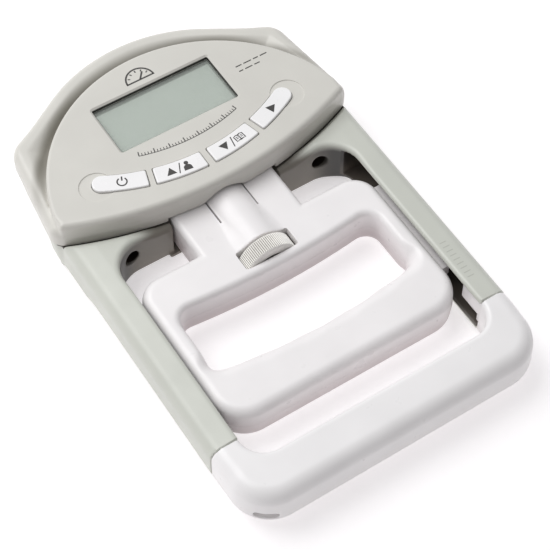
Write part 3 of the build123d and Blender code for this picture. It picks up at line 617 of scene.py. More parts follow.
assign(white_plastic, "end_grip_plate")
assign(dark_plastic, "lcd_holder")
assign(window_clear("lens_glass"), "display_lens")
for nodes, name, colour, *values in (
        ("battery_door", "door_plastic", BODY_GREY, 0.38, 0.03),
        ("power_key user_key recall_key start_key", "key_plastic", srgb(249, 248, 248), 0.28),
        ("circuit_board", "board_green", srgb(34, 98, 58), 0.36, 0.05, 0.2),
        ("controller_chip", "epoxy_black", srgb(26, 26, 27), 0.26, 0.05, 0.2),
        ("keypad_mat", "silicone_grey", srgb(188, 187, 180), 0.55, 0.03, 0.05),
        ("elastomer_strips", "elastomer_dark", srgb(70, 70, 74), 0.62, 0.05, 0.2),
        ("aaa_cells", "cell_jacket", srgb(36, 36, 40), 0.25, 0.01, 0.1),
        ("battery_leads load_cell_leads", "lead_jacket", srgb(168, 40, 34), 0.42, 0.02, 0.08)):
    assign(plastic(name, colour, *values), *nodes.split())
for nodes, name, colour, *values in (
        ("adjuster_screw wheel_washers load_cell_bolts board_screws cover_screws handle_screws "
         "end_grip_screws tongue_screws", "screw_steel", srgb(176, 176, 172), 0.32),
        ("pull_nut", "nut_brass", srgb(205, 172, 104), 0.3),
        ("load_cell_beam", "beam_metal", srgb(188, 190, 192), 0.3, 1.0, 0.06),
        ("battery_springs battery_contacts", "contact_metal", srgb(206, 202, 192), 0.24),
        ("strain_gauges", "gauge_foil", srgb(198, 150, 92), 0.4, 0.6)):
    assign(metal(name, colour, *values), *nodes.split())


# ---- head cover ----
SEAM_Z = 17.45
COVER_WALL = 2.2
RIM_Z = 24.8
CROWN_CENTRE_Y, CROWN_RADIUS = 34.0, 65.0
KEY_CENTRE_Y, KEY_INNER_R, KEY_OUTER_R = 110.6, 76.95, 84.25
KEY_GAP = 0.28
KEY_ANGLES = {"power": (-16.95, -31.5), "user": (-1.1, -15.0)}  # the other two are mirrored
WINDOW = (-25.3, 25.3, 49.0, 72.3)  # x and y of the display recess
DISH_X, DISH_Y = 41.2, 39.9  # finger dishes at the ends of the key row
NECK_WAY = 23.2  # half width of the opening for the handle's neck


def smile(x, y):
    """Distance to the curved lower edge of the head."""
    return np.hypot(x, y - SMILE_CENTRE_Y) - SMILE_RADIUS


def head_plan(x, y):
    """Distance to the bell-shaped outline of the head."""
    across = np.abs(x)
    side = (across - 64.0) * 0.9928 + (y - 32.4) * 0.1205
    crown = np.hypot(x, y - CROWN_CENTRE_Y) - CROWN_RADIUS
    hollow = 0.5 * np.exp(-((across - 47.0) / 9.0) ** 2)
    flare = (across - 34.0) * 0.4969 + (y - 89.4) * 0.8678 + hollow
    beyond = smooth_step(np.arctan2(across, y - CROWN_CENTRE_Y), 0.50, 0.60)
    top = crown * (1 - beyond) + flare * beyond
    return both(both(top, side, 4.0), smile(x, y), 3.6)


def head_cover_skin(x, y, z):
    """Outside of the cover: flank, cove and raised face, whose cove is deepest at the crown."""
    plan = head_plan(x, y)
    front = smile(x, y)
    arc = np.hypot(x, y - ARC_CENTRE_Y) - ARC_RADIUS
    from_front = smooth_step(front, -6.0, -1.5)
    ridge = np.maximum(arc - plan - 3.0, 0.05)
    depth = np.minimum(0.6 + 3.2 * smooth_step(y, 44.0, 76.0), 0.7 * ridge)
    cove = depth * (1 - smooth_step(np.maximum(arc, 0) / ridge, 0.1, 0.8))
    flank = both(plan, z - (RIM_Z - cove), 3.6)
    edge = 0.9 + 1.3 * from_front
    face = both(both(arc, front, 1.2), z - FACE_Z, edge)
    return either(flank, face, 0.7)


def head_cover_field(x, y, z):
    skin = head_cover_skin(x, y, z)
    shell = np.maximum(skin, -(skin + COVER_WALL))
    neck_way = np.maximum(span(x, -NECK_WAY, NECK_WAY), np.maximum(z - 19.0, y - 34.0))
    boss_way = np.maximum(np.hypot(x, z - AXIS_Z) - 11.45, y - 30.0)
    return both(both(shell, -neck_way, 0.3), -boss_way, 0.4)


def key_outline(name, grow, points=14):
    """Plan of one key's hole, counter-clockwise; the outer keys end in a half circle."""
    a0, a1 = KEY_ANGLES[name]
    inner, outer = KEY_INNER_R - grow, KEY_OUTER_R + grow
    middle, half = (inner + outer) / 2, (outer - inner) / 2
    side = 1 if a1 > a0 else -1
    a0 = math.radians(a0 - side * math.degrees(grow / middle))
    round_end = name == "power"
    a1 = math.radians(a1)
    a1 = a1 - side * (half - grow) / middle if round_end else a1 + side * grow / middle

    def at(radius, turn):
        return (radius * math.sin(turn), KEY_CENTRE_Y - radius * math.cos(turn))

    line = [at(outer, a0 + (a1 - a0) * k / points) for k in range(points + 1)]
    if round_end:
        cx, cy = at(middle, a1)
        for k in range(1, points):
            turn = math.pi * k / points
            direction = -math.pi / 2 + a1 + side * turn
            line.append((cx + half * math.cos(direction), cy + half * math.sin(direction)))
    line += [at(inner, a1 + (a0 - a1) * k / points) for k in range(points + 1)]
    line = soften(line, 0.8)
    area = sum(x0 * y1 - x1 * y0 for (x0, y0), (x1, y1) in zip(line, line[1:] + line[:1]))
    return line if area > 0 else line[::-1]


def soften(line, radius):
    """Rounds the sharp corners of a closed outline."""
    out = []
    count = len(line)
    pieces = 5
    for k in range(count):
        here = np.array(line[k])
        before, after = np.array(line[k - 1]) - here, np.array(line[(k + 1) % count]) - here
        la, lb = np.hypot(*before), np.hypot(*after)
        if la < 1e-6 or lb < 1e-6:
            continue
        turn = math.acos(max(-1.0, min(1.0, float(before @ after) / (la * lb))))
        if turn > math.radians(150):
            out.append(tuple(here))
            continue
        limits = [0.45 * side if side > radius else side for side in (la, lb)]
        reach = min(radius / math.tan(turn / 2), *limits)
        p0, p1 = here + before / la * reach, here + after / lb * reach
        for n in range(pieces + 1):
            t = n / pieces
            out.append(tuple((1 - t) ** 2 * p0 + 2 * t * (1 - t) * here + t ** 2 * p1))
    return out


def rounded_rectangle(x0, x1, y0, y1, radius, points=5):
    """Outline of a rectangle with round corners, counter-clockwise."""
    line = []
    for cx, cy, start in ((x1 - radius, y0 + radius, -90), (x1 - radius, y1 - radius, 0),
                          (x0 + radius, y1 - radius, 90), (x0 + radius, y0 + radius, 180)):
        for k in range(points + 1):
            turn = math.radians(start + 90 * k / points)
            line.append((cx + radius * math.cos(turn), cy + radius * math.sin(turn)))
    return line


def mirrored(line):
    """The outline on the other side, still counter-clockwise."""
    return [(-x, y) for x, y in line[::-1]]


def add_head_cover():
    low, high = box_mm("head_cover")
    piece = field_mesh("head_cover_skin", head_cover_field, (low[0] - 1, low[1] - 1, SEAM_Z - 2.0),
                       [v + 1 for v in high], 0.5)
    slice_flat(piece, SEAM_Z, keep_above=True)
    dish = [(6.0, FACE_Z - 0.42), (6.45, FACE_Z - 0.32), (6.7, FACE_Z + 0.1)]
    cut_out(piece, [lathe("dish", side * DISH_X, DISH_Y, dish, 64) for side in (-1, 1)])
    deep, proud = FACE_Z - 4, FACE_Z + 0.05
    cutters = [prism("window_cut", rounded_rectangle(*WINDOW, 0.7), deep, proud, 0.8, 0.6)]
    for name in KEY_ANGLES:
        line = key_outline(name, KEY_GAP)
        cutters.append(prism(name + "_cut", line, deep, proud, 0.12))
        cutters.append(prism(name + "_cut_right", mirrored(line), deep, proud, 0.12))
    cut_out(piece, cutters)
    shade(piece, 32)
    stand_for(piece, face_plastic, "frame", "face_plastic", "head_cover")


# ---- handle ----
SPLIT_Z = 10.25
HANDLE_LOW_Z, HANDLE_TOP_Z = 2.0, 18.5
HANDLE_WALL = 2.2
DRAFT = 0.055  # side walls lean in from the parting line
BOSS_END_Y = 24.0
FINGER_PITCH = 17.0
WHEEL_ROOM = (RIM_Y0 - 0.45, RIM_Y1 + 0.95)  # wider towards the boss
HANDLE_SCREWS = [(-45.6, -6.0), (45.6, -6.0), (-44.0, -55.0), (44.0, -55.0), (-16.0, 28.0),
                 (16.0, 28.0)]


def rounded_plan(x, y, half, y0, y1, low_radius, high_radius):
    """Distance to a rectangle with one corner radius at each end."""
    middle, reach = (y0 + y1) / 2, (y1 - y0) / 2
    radius = np.where(y > middle, high_radius, low_radius)
    u = np.abs(x) - half + radius
    v = np.abs(y - middle) - reach + radius
    return np.minimum(np.maximum(u, v), 0) + np.hypot(np.maximum(u, 0), np.maximum(v, 0)) - radius


def finger_loop(x, y):
    """Distance to the finger loop: bowed top, straight ends, shallow finger grooves below."""
    ceiling = y + 18.4 - 2.8 * (x / 42.0) ** 2
    wave = 0.5 * np.cos(2 * math.pi * x / FINGER_PITCH)
    floor = -46.0 + 2.6 * (x / 34.0) ** 2 - wave - y
    return both(both(np.abs(x) - 42.0, ceiling, 6.5), floor, 3.0)


def handle_body(x, y, z):
    """Ring around the finger loop, and the flat neck."""
    lean = DRAFT * np.abs(z - SPLIT_Z)
    outer = rounded_plan(x, y, 49.8, -66.0, 1.6, 13.5, 10.0) + lean
    thick = span(z, HANDLE_LOW_Z, HANDLE_TOP_Z)
    grooves = 5.4 + 1.0 * np.cos(2 * math.pi * x / FINGER_PITCH + math.pi)
    soft = 2.2 + (grooves - 2.2) * smooth_step(-y, 33.0, 42.0)
    ring = both(both(outer, thick, 3.6), lean - finger_loop(x, y), soft)
    neck = both(span(z, HANDLE_LOW_Z + 0.6, HANDLE_TOP_Z), np.abs(x) - 22.2, 2.4)
    neck = np.maximum(neck, span(y, -6.0, 37.0))
    return np.minimum(ring, neck)


def handle_skin(x, y, z):
    """The body with the half-round screw housing that melts into it."""
    body = handle_body(x, y, z)
    size = 10.2 + 0.35 * smooth_step(-y, -24.0, -2.0)
    boss = both(np.hypot(x, z - AXIS_Z) - size, span(y, -8.6, BOSS_END_Y), 3.0)
    boss = np.maximum(boss, SPLIT_Z - z)
    blend = 0.8 + 1.3 * smooth_step(-y, -12.0, 3.0)
    return either(body, boss, blend)


def handle_field(x, y, z):
    skin = handle_skin(x, y, z)
    core = np.maximum(np.abs(x) - 14.5, span(y, -21.0, 1.5))
    inside = np.maximum(handle_body(x, y, z) + HANDLE_WALL, -core)
    for sx, sy in HANDLE_SCREWS:
        inside = both(inside, 2.9 - np.hypot(x - sx, y - sy), 1.2)
    shell = np.maximum(skin, -inside)
    around = np.hypot(x, z - AXIS_Z)
    bore = np.maximum(around - 3.15, span(y, -17.0, 60.0))
    wheel_room = np.maximum(around - WHEEL_RADIUS - 0.5, span(y, *WHEEL_ROOM))
    washer_room = np.maximum(around - 6.1, span(y, WHEEL_Y0 - 1.3, WHEEL_Y1 + 1.3))
    shell = np.maximum(shell, -np.minimum(np.minimum(bore, wheel_room), washer_room))
    rib = both(span(y, -50.0, -6.0), span(z, 9.4, 14.6), 0.5)
    return np.minimum(shell, both(span(np.abs(x), 47.5, 53.2), rib, 0.5))


def handle_cutters(upper):
    """Screw holes, the window of the wheel, and the slits beside the screw housing."""
    if upper:
        hole = [(1.05, SPLIT_Z - 1), (1.05, HANDLE_TOP_Z - 2.7)]
        window = prism("window", rounded_rectangle(-11.0, 11.0, *WHEEL_ROOM, 0.9), AXIS_Z + 2, 30.0)
    else:
        hole = [(2.3, 0.0), (2.3, 4.2), (1.3, 4.25), (1.3, SPLIT_Z + 1)]
        window = prism("window", rounded_rectangle(-7.2, 7.2, *WHEEL_ROOM, 0.7), -2.0, AXIS_Z - 2)
    cutters = [lathe("screw_cut", x, y, hole) for x, y in HANDLE_SCREWS] + [window]
    if upper:
        for middle in (-7.95, 7.95):
            slit = rounded_rectangle(middle - 0.33, middle + 0.33, 8.0, 40.0, 0.3, 3)
            cutters.append(prism("slit", slit, HANDLE_TOP_Z - 3.2, 24.0))
    return cutters


def add_handle():
    low, high = box_mm("handle_lower_shell")
    for upper, name in ((True, "handle_upper_shell"), (False, "handle_lower_shell")):
        z0, z1 = (SPLIT_Z - 1.0, 24.0) if upper else (low[2] - 1, SPLIT_Z + 1.0)
        piece = field_mesh(name + "_skin", handle_field, (low[0] - 1, low[1] - 1, z0),
                           (high[0] + 1, high[1] + 1, z1), 0.5)
        slice_flat(piece, SPLIT_Z + (0.03 if upper else -0.03), keep_above=upper)
        cut_out(piece, handle_cutters(upper))
        shade(piece, 32)
        stand_for(piece, handle_plastic, "handle", "white_plastic", name)


# ---- adjusting wheel ----
WHEEL_TEETH = 88
TOOTH_DEPTH = 0.4


def add_wheel():
    """Knurled wheel with smooth, chamfered rims."""
    steps = 6  # per tooth
    count = WHEEL_TEETH * steps
    half = [(0.0, 10.3, 0.0), (0.25, 10.85, 0.0)]
    half += [(0.55, WHEEL_RADIUS, 0.9), (0.75, WHEEL_RADIUS, 1.0)]
    rims = [(WHEEL_Y0, 3.0, 0.0), (WHEEL_Y0, 6.6, 0.0), (RIM_Y0, 7.2, 0.0)]
    rims += [(RIM_Y0 + inset, radius, share) for inset, radius, share in half]
    rims += [(RIM_Y1 - inset, radius, share) for inset, radius, share in half[::-1]]
    rims += [(RIM_Y1, 7.2, 0.0), (WHEEL_Y1, 6.6, 0.0), (WHEEL_Y1, 3.0, 0.0)]
    bm = bmesh.new()
    rings = []
    for y, radius, share in rims:
        points = []
        for k in range(count):
            turn = 2 * math.pi * k / count
            wave = abs((k % steps) / steps * 2 - 1)
            r = radius - TOOTH_DEPTH * share * (wave ** 1.6)
            points.append((r * math.sin(turn), y, AXIS_Z + r * math.cos(turn)))
        rings.append(add_ring(bm, points))
    join_rings(bm, rings, around=True)
    bmesh.ops.recalc_face_normals(bm, faces=bm.faces[:])
    piece = make_object("adjuster_wheel_knurled", bm)
    shade(piece, 40)
    stand_for(piece, wheel_metal, "wheel", "wheel_metal", "adjuster_wheel")


# ---- main frame ----
FRAME_TOP_Z = 17.15  # under the head cover
ARM_END_Y = -71.4
TRAY_DRAFT = 0.1317
COVER_SCREWS = [(57.2, 36.0), (20.0, 86.0)]
TONGUE_SCREW = (55.0, -64.5)
LOAD_CELL_BOLT = (23.0, 58.0)
BAY = (-53.4, -30.6, 27.0, 74.0, -1.0, 13.0)  # inside of the battery bay


def block_field(x, y, z, x0, x1, y0, y1, z0, z1, grow=0.0):
    """Distance to a box, made larger by grow."""
    sides = np.maximum(span(x, x0 - grow, x1 + grow), span(y, y0 - grow, y1 + grow))
    return np.maximum(sides, span(z, z0 - grow, z1 + grow))


def frame_outside(x, y, z):
    """Tray under the head, front wall with its saddle, and the two arms with their round arches."""
    across = np.abs(x)
    plan = head_plan(x, y)
    tray = both(plan + 0.3 + TRAY_DRAFT * np.maximum(FRAME_TOP_Z - z, 0), -z, 1.5)
    tray = np.maximum(tray, z - FRAME_TOP_Z)
    crest = ARM_TOP_Z - 0.085 * np.maximum(across - 51.9, 0)
    saddle = FRAME_TOP_Z + 3.65 * smooth_step(across, 27.0, 42.0)
    crest = np.minimum(crest, saddle)
    floor = ARM_LOW_Z * (1 - smooth_step(y, 9.0, 16.5))
    rails = both(both(across - ARM_OUTER_X, z - crest, 4.2), floor - z, 5.0)
    opening = rounded_plan(x, y, ARM_INNER_X, -200.0, INNER_WALL_Y, 12.0, 12.0)
    rails = both(rails, -opening, 1.2 + 0.8 * smooth_step(y, -4.0, 8.0))
    rails = np.maximum(rails, span(y, ARM_END_Y, 40.0))
    seat = np.maximum((plan - 0.4 - 0.78 * (z - FRAME_TOP_Z)) * 0.788, FRAME_TOP_Z - z)
    rails = both(rails, -seat, 0.5)
    fillet = 1.6 * smooth_step(z, 3.0, 6.0) * (1 - smooth_step(z, 14.0, 16.5)) + 1e-6
    return either(tray, rails, fillet)


def post_field(across, y, z, place, radius, z0, z1):
    """Distance to an upright cylinder, or to a pair of them when across is folded."""
    around = np.hypot(across - place[0], y - place[1]) - radius
    return np.maximum(around, span(z, z0, z1))


def frame_field(x, y, z):
    """The frame with its hollow, channels, battery bay, screw posts and round holes."""
    across = np.abs(x)
    skin = frame_outside(x, y, z)
    neck_way = block_field(x, y, z, -NECK_WAY, NECK_WAY, 8.0, 26.0, 1.8, 40.0)
    solid = both(skin, -neck_way, 0.3)
    lip = block_field(x, y, z, -25.5, 25.5, 15.7, 19.0, 0.3, 1.8)
    solid = np.minimum(solid, lip)
    inner = head_plan(x, y) + 2.7 + TRAY_DRAFT * (FRAME_TOP_Z + 1 - z)
    hollow = np.maximum(np.maximum(inner, 2.0 - z), 19.2 - y)
    pocket = block_field(across, y, z, 30.0, 54.0, 19.5, 44.0, 4.4, 16.4)
    channel = both(span(across, 45.5, 58.9), span(z, 4.4, 18.4), 1.0)
    channel = both(channel, span(y, -80.0, 11.5), 1.0)
    solid = np.maximum(solid, -np.minimum(np.minimum(hollow, pocket), channel))
    bay_wall = block_field(x, y, z, *BAY[:4], 0.5, 13.0, 1.2)
    bay_wall = np.maximum(bay_wall, 0.5 - z)
    solid = np.minimum(solid, bay_wall)
    for place in COVER_SCREWS:
        solid = np.minimum(solid, post_field(across, y, z, place, 2.9, 1.0, FRAME_TOP_Z))
    pad = block_field(across, y, z, 18.7, 27.3, 52.5, 63.5, 1.0, 5.4)
    around = np.hypot(across - HOLE_X, z - AXIS_Z)
    socket = np.maximum(around - 4.6, span(y, INNER_WALL_Y + 1, INNER_WALL_Y + 8))
    solid = np.minimum(np.minimum(solid, pad), socket)
    holes = [(place, 1.5, -1.0, 20.0) for place in COVER_SCREWS]
    holes += [(place, 2.7, -1.0, 4.0) for place in COVER_SCREWS]
    holes += [(TONGUE_SCREW, 1.4, -1.0, 6.0), (TONGUE_SCREW, 2.5, -1.0, 3.3)]
    holes.append((LOAD_CELL_BOLT, 1.7, 1.0, 6.4))
    for hole in holes:
        solid = np.maximum(solid, -post_field(across, y, z, *hole))
    bore = np.maximum(around - 3.1, span(y, INNER_WALL_Y - 4, INNER_WALL_Y + 6.5))
    solid = both(solid, -bore, 0.55)
    bay = block_field(x, y, z, *BAY)
    recess = block_field(x, y, z, *BAY[:4], -1.0, 0.8, 0.8)
    return np.maximum(solid, -np.minimum(bay, recess))


def add_frame():
    low, high = box_mm("main_frame")
    piece = field_mesh("main_frame_skin", frame_field, [v - 1.3 for v in low],
                       [v + 1.3 for v in high], 0.6)
    shade(piece, 30)
    stand_for(piece, body_plastic, "frame", "body_plastic", "main_frame")


# ---- end grip ----
GRIP_END_Y, GRIP_LOW_Y = -71.65, -99.0
GRIP_CORNER = 15.5  # radius of the outer corners
GRIP_SPLIT_Z = 9.5
GRIP_WALL = 2.5
TONGUE_X0, TONGUE_X1 = 51.6, 58.4
TONGUE_ROOT_Y = -78.0
SLOT_TURN, SLOT_Z = 234, 9.1  # strap slot: degrees round the left corner, height


def grip_skin(x, y, z):
    """Outside of the palm bar and its two legs."""
    lean = 0.05 * np.abs(z - GRIP_SPLIT_Z) * smooth_step(-y, 74.0, 84.0)
    outer = rounded_plan(x, y, ARM_OUTER_X, GRIP_LOW_Y, 0.0, GRIP_CORNER, 5.0) + lean
    inner = rounded_plan(x, y, ARM_INNER_X, -81.0, 0.0, 9.4, 5.0)
    thick = span(z, ARM_LOW_Z, ARM_TOP_Z)
    ring = both(both(outer, thick, 5.4), lean - inner, 1.9)
    return np.maximum(ring, y + 60.0)


def grip_cuts(x, y, z):
    """Strap slot in the left corner, and the pocket of the back plate."""
    turn = math.radians(SLOT_TURN)
    slot_x = GRIP_CORNER - ARM_OUTER_X + GRIP_CORNER * math.cos(turn)
    slot_y = GRIP_CORNER + GRIP_LOW_Y + GRIP_CORNER * math.sin(turn)
    outward = (x - slot_x) * math.cos(turn) + (y - slot_y) * math.sin(turn)
    along = (y - slot_y) * math.cos(turn) - (x - slot_x) * math.sin(turn)
    slot = both(np.abs(along) - 4.4, np.abs(z - SLOT_Z) - 1.5, 1.3)
    slot = np.maximum(slot, np.abs(outward) - 2.6)
    pocket = both(both(np.abs(x) - 46.0, span(y, -94.5, -85.5), 1.6), z - 4.15, 0.1)
    return np.minimum(slot, pocket)


def grip_field(x, y, z):
    """Hollow grip with two-step tongues, whose roots join its walls."""
    skin = both(grip_skin(x, y, z), -grip_cuts(x, y, z), 0.35)
    shell = np.maximum(np.maximum(skin, -(skin + GRIP_WALL)), y - GRIP_END_Y)
    width = span(np.abs(x), TONGUE_X0, TONGUE_X1)
    upper = both(both(width, span(z, 8.6, 18.0), 0.8), span(y, TONGUE_ROOT_Y, -59.6), 0.8)
    lower = both(both(width, span(z, 4.8, 9.0), 0.8), span(y, TONGUE_ROOT_Y, -69.0), 0.8)
    root = both(span(np.abs(x), TONGUE_X0, 59.6), span(z, 4.8, 18.0), 0.8)
    root = np.maximum(root, span(y, TONGUE_ROOT_Y, GRIP_END_Y))
    return np.minimum(np.minimum(shell, root), np.minimum(upper, lower))


def add_end_grip():
    low, high = box_mm("end_grip")
    piece = field_mesh("end_grip_skin", grip_field, [v - 1 for v in low],
                       [v + 1 for v in high], 0.5)
    shade(piece, 32)
    stand_for(piece, white_plastic, "frame", "white_plastic", "end_grip")


# ---- display and prints ----
def window_outline(inset, radius):
    x0, x1, y0, y1 = WINDOW
    return rounded_rectangle(x0 + inset, x1 - inset, y0 + inset, y1 - inset, radius)


def add_display():
    """Liquid crystal cell that fills the window, right under the clear lens."""
    low = box_mm("lcd_panel")[0]
    glass_low = box_mm("display_lens")[0]
    piece = prism("lcd_cell", window_outline(0.1, 0.4), low[2], glass_low[2] - 0.05)
    stand_for(piece, lcd_glass, "frame", "lcd_glass", "lcd_panel")


def add_window_liner():
    """Dark liner on the walls of the display recess."""
    outer, inner = window_outline(0.02, 0.66), window_outline(0.12, 0.58)
    low, high = box_mm("display_lens")[1][2] + 0.02, FACE_Z - 0.65
    bm = bmesh.new()
    rings = []
    for line, z in ((outer, low), (outer, high), (inner, high), (inner, low)):
        rings.append(add_ring(bm, [(x, y, z) for x, y in line]))
    join_rings(bm, rings, around=True)
    bmesh.ops.recalc_face_normals(bm, faces=bm.faces[:])
    piece = make_object("window_liner", bm)
    piece.data.materials.append(dark_plastic)
    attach(piece, "frame")


def stroke(points, width):
    """Both edges of a thin line through a list of points."""
    left, right = [], []
    last = len(points) - 1
    for k, here in enumerate(np.array(points, float)):
        along = np.array(points[min(k + 1, last)], float) - np.array(points[max(k - 1, 0)], float)
        along = along / max(np.hypot(*along), 1e-9)
        side = np.array((-along[1], along[0])) * width / 2
        left.append(tuple(here + side))
        right.append(tuple(here - side))
    return left, right


def arc_points(cx, cy, radius, start, end, points=24):
    """Points on an arc, between two angles in degrees."""
    out = []
    for k in range(points + 1):
        turn = math.radians(start + (end - start) * k / points)
        out.append((cx + radius * math.cos(turn), cy + radius * math.sin(turn)))
    return out


def add_print(name, strokes, fills, place, turn, z, body):
    """Thin printed sign on a flat face: stroked lines and filled outlines, turned and placed."""
    thick = 0.03
    bm = bmesh.new()

    def spot(point, height):
        x = point[0] * math.cos(turn) - point[1] * math.sin(turn) + place[0]
        y = point[0] * math.sin(turn) + point[1] * math.cos(turn) + place[1]
        return bm.verts.new((x * MM, y * MM, height * MM))

    for left, right in strokes:
        lb, rb = [[spot(p, z) for p in line] for line in (left, right)]
        lt, rt = [[spot(p, z + thick) for p in line] for line in (left, right)]
        for k in range(len(left) - 1):
            n = k + 1
            bm.faces.new((lt[k], lt[n], rt[n], rt[k]))
            bm.faces.new((lb[k], rb[k], rb[n], lb[n]))
            bm.faces.new((lb[k], lb[n], lt[n], lt[k]))
            bm.faces.new((rb[k], rt[k], rt[n], rb[n]))
        bm.faces.new((lb[0], lt[0], rt[0], rb[0]))
        bm.faces.new((lb[-1], rb[-1], rt[-1], lt[-1]))
    for outline in fills:
        rings = [[spot(p, height) for p in outline] for height in (z, z + thick)]
        join_rings(bm, rings)
        close_ends(bm, rings)
    bmesh.ops.recalc_face_normals(bm, faces=bm.faces[:])
    piece = make_object(name, bm)
    piece.data.materials.append(print_ink)
    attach(piece, body)


def key_place(angle):
    """Middle of a key at an angle on the arc, and the turn of its sign."""
    radius = (KEY_INNER_R + KEY_OUTER_R) / 2
    turn = math.radians(angle)
    return (radius * math.sin(turn), KEY_CENTRE_Y - radius * math.cos(turn)), turn


def triangle(cx, cy, size, up):
    """Triangle that points up, or down where up is -1."""
    half, rise = size / 2, up * (size * 0.85) / 2
    return [(cx - half, cy - rise), (cx + half, cy - rise), (cx, cy + rise)]


def person(cx):
    """Head and shoulders, as two filled outlines."""
    head = arc_points(cx, 1.3, 0.85, 0, 345, 22)
    shoulders = arc_points(cx, -1.15, 1.7, 180, 0, 14)[2:-2]
    return [head, [(cx - 1.7, -2.0)] + shoulders + [(cx + 1.7, -2.0)]]


def book(cx):
    """Open book with two lines on each page."""
    lines = []
    for side in (-1, 1):
        middle, edge = cx + side * 0.9, cx + side * 1.9
        page = [(cx, -1.25), (middle, -1.0), (edge, -1.25), (edge, 1.25), (middle, 1.5), (cx, 1.25)]
        lines.append(stroke(page, 0.42))
        for y in (0.55, -0.1):
            lines.append(stroke([(cx + side * 0.5, y), (cx + side * 1.45, y)], 0.3))
    lines.append(stroke([(cx, -1.35), (cx, 1.3)], 0.42))
    return lines


def add_key_signs():
    """A power sign, a triangle with a person, a triangle with a book, and a play sign."""
    ring = stroke(arc_points(0, 0, 1.8, 125, 415, 40), 0.55)
    bar = stroke([(0, 0.45), (0, 2.35)], 0.55)
    slash = stroke([(-0.8, -2.3), (0.6, 2.3)], 0.42)
    up, down = triangle(-3.6, 0.0, 3.9, 1), triangle(-3.6, 0.0, 3.9, -1)
    play = [(-1.5, -2.0), (2.0, 0.0), (-1.5, 2.0)]
    signs = [("power", -23.6, [ring, bar], []), ("user", -8.1, [slash], [up] + person(2.9)),
             ("recall", 8.1, [slash] + book(3.3), [down]), ("start", 23.6, [], [play])]
    for name, angle, strokes, fills in signs:
        add_print(name + "_sign", strokes, fills, *key_place(angle), KEY_TOP_Z, name + "_key")


def ray(radii, angle, centre_y=0.0):
    """Points on a ray at an angle in degrees."""
    turn = math.radians(angle)
    return [(r * math.cos(turn), centre_y + r * math.sin(turn)) for r in radii]


def add_face_prints():
    """A graduated arc, a small dial, and two rows of dashes, in the places of the lettering."""
    ink_z = FACE_Z - 0.005
    radius, first, last = 69.9, 252.5, 287.5
    scale = [stroke(arc_points(0, KEY_CENTRE_Y, radius, first, last, 40), 0.3)]
    for n in range(36):
        long, width = (2.0, 0.42) if n % 5 == 0 else (1.2, 0.3)
        scale.append(stroke(ray((radius, radius - long), first + n, KEY_CENTRE_Y), width))
    add_print("scale_print", scale, [], (0, 0), 0.0, ink_z, "frame")
    dial = [stroke(arc_points(0, 0, 5.6, 0, 180, 30), 0.7), stroke([(-5.95, 0), (5.95, 0)], 0.7),
            stroke([(0, 0.2), (2.4, 3.2)], 0.7)]
    dial += [stroke(ray((3.9, 4.9), angle), 0.5) for angle in (30, 60, 90, 120, 150)]
    add_print("gauge_sign", dial, [], (-2.0, 75.6), 0.0, ink_z, "frame")
    rows = []
    for row, lengths in ((1.3, (2.6, 3.4, 2.2, 3.0)), (-1.3, (1.8, 3.2, 2.4))):
        start = -7.0
        for length in lengths:
            rows.append(stroke([(start, row), (start + length, row)], 0.5))
            start += length + 0.9
    add_print("rating_marks", rows, [], (38.6, 60.0), 0.0, ink_z, "frame")


# ---- studio ----
AZIMUTH, ELEVATION, ROLL = math.radians(-32.834), math.radians(56.081), math.radians(0.172)
TARGET, DISTANCE = (-1.90, -18.77, 13.44), 606.4
LENS, SENSOR = 110.07, 36.0
FLOOR_GLOW = 0.50
SKY = 0.60
KEY_PLACE, KEY_SIZE, KEY_WATTS = (-0.32, 0.50, 1.0), 0.9, 8.7  # metres and watts


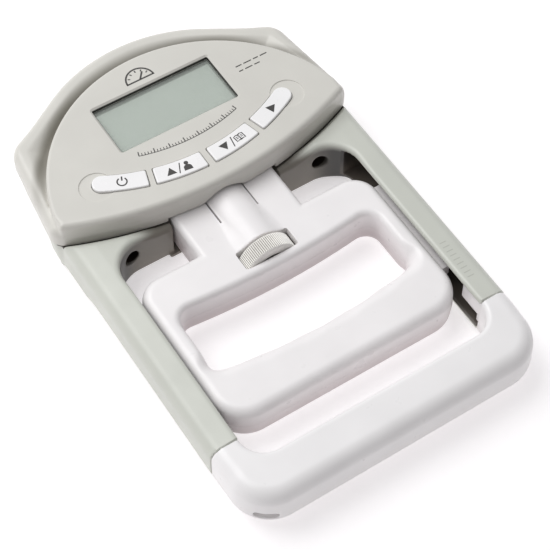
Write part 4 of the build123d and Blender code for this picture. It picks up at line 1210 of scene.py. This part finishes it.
def add_camera():
    """Camera at the photograph's viewing angle."""
    level = math.cos(ELEVATION)
    back = Vector((math.sin(AZIMUTH) * level, -math.cos(AZIMUTH) * level, math.sin(ELEVATION)))
    data = bpy.data.cameras.new("camera")
    data.sensor_width = SENSOR
    data.lens = LENS
    data.clip_start = 0.01
    camera = link_new("camera", data)
    camera.location = Vector(TARGET) * MM + back * DISTANCE * MM
    camera.rotation_euler = back.to_track_quat("Z", "Y").to_euler()
    camera.rotation_euler.rotate_axis("Z", ROLL)
    bpy.context.scene.camera = camera


def add_floor():
    """Pale paper, just under the object."""
    bpy.ops.mesh.primitive_plane_add(size=6.0, location=(0, 0, -0.1 * MM))
    floor = bpy.context.object
    floor.name = "floor"
    mat, tree, bsdf = new_material("floor")
    paper = ramp(tree, noise(tree, 30.0, 3.0),
                 (0.3, (0.66, 0.655, 0.66, 1.0)), (0.7, (0.68, 0.675, 0.68, 1.0)))
    tree.links.new(paper, bsdf.inputs["Base Color"])
    bsdf.inputs["Roughness"].default_value = 0.9
    bsdf.inputs["Emission Color"].default_value = (1.0, 0.97, 0.98, 1.0)
    bsdf.inputs["Emission Strength"].default_value = FLOOR_GLOW
    floor.data.materials.append(mat)


def add_sky():
    """Soft sky that is brighter above and behind the head."""
    world = bpy.data.worlds.new("world")
    world.use_nodes = True
    tree = world.node_tree
    _, along, up = coordinates(tree, "Generated")
    lean = math_node(tree, "ADD", math_node(tree, "MULTIPLY", along, 0.8),
                     math_node(tree, "MULTIPLY", up, 0.6))
    share = math_node(tree, "ADD", math_node(tree, "MULTIPLY", lean, 0.5), 0.5)
    sky = ramp(tree, share, (0.15, (0.25, 0.235, 0.235, 1.0)), (0.95, (0.97, 0.98, 1.0, 1.0)))
    tree.links.new(sky, tree.nodes["Background"].inputs["Color"])
    tree.nodes["Background"].inputs["Strength"].default_value = SKY
    bpy.context.scene.world = world


def add_key_light():
    """One large soft light from the back left."""
    data = bpy.data.lights.new("key", "AREA")
    data.shape = "RECTANGLE"
    data.size = KEY_SIZE
    data.size_y = KEY_SIZE
    data.energy = KEY_WATTS
    light = link_new("key", data)
    light.location = KEY_PLACE
    light.rotation_euler = Vector(KEY_PLACE).to_track_quat("Z", "Y").to_euler()


add_head_cover()
add_frame()
add_handle()
add_wheel()
add_end_grip()
add_display()
add_window_liner()
add_key_signs()
add_face_prints()
add_camera()
add_floor()
add_sky()
add_key_light()
bpy.context.scene.view_settings.view_transform = "Standard"
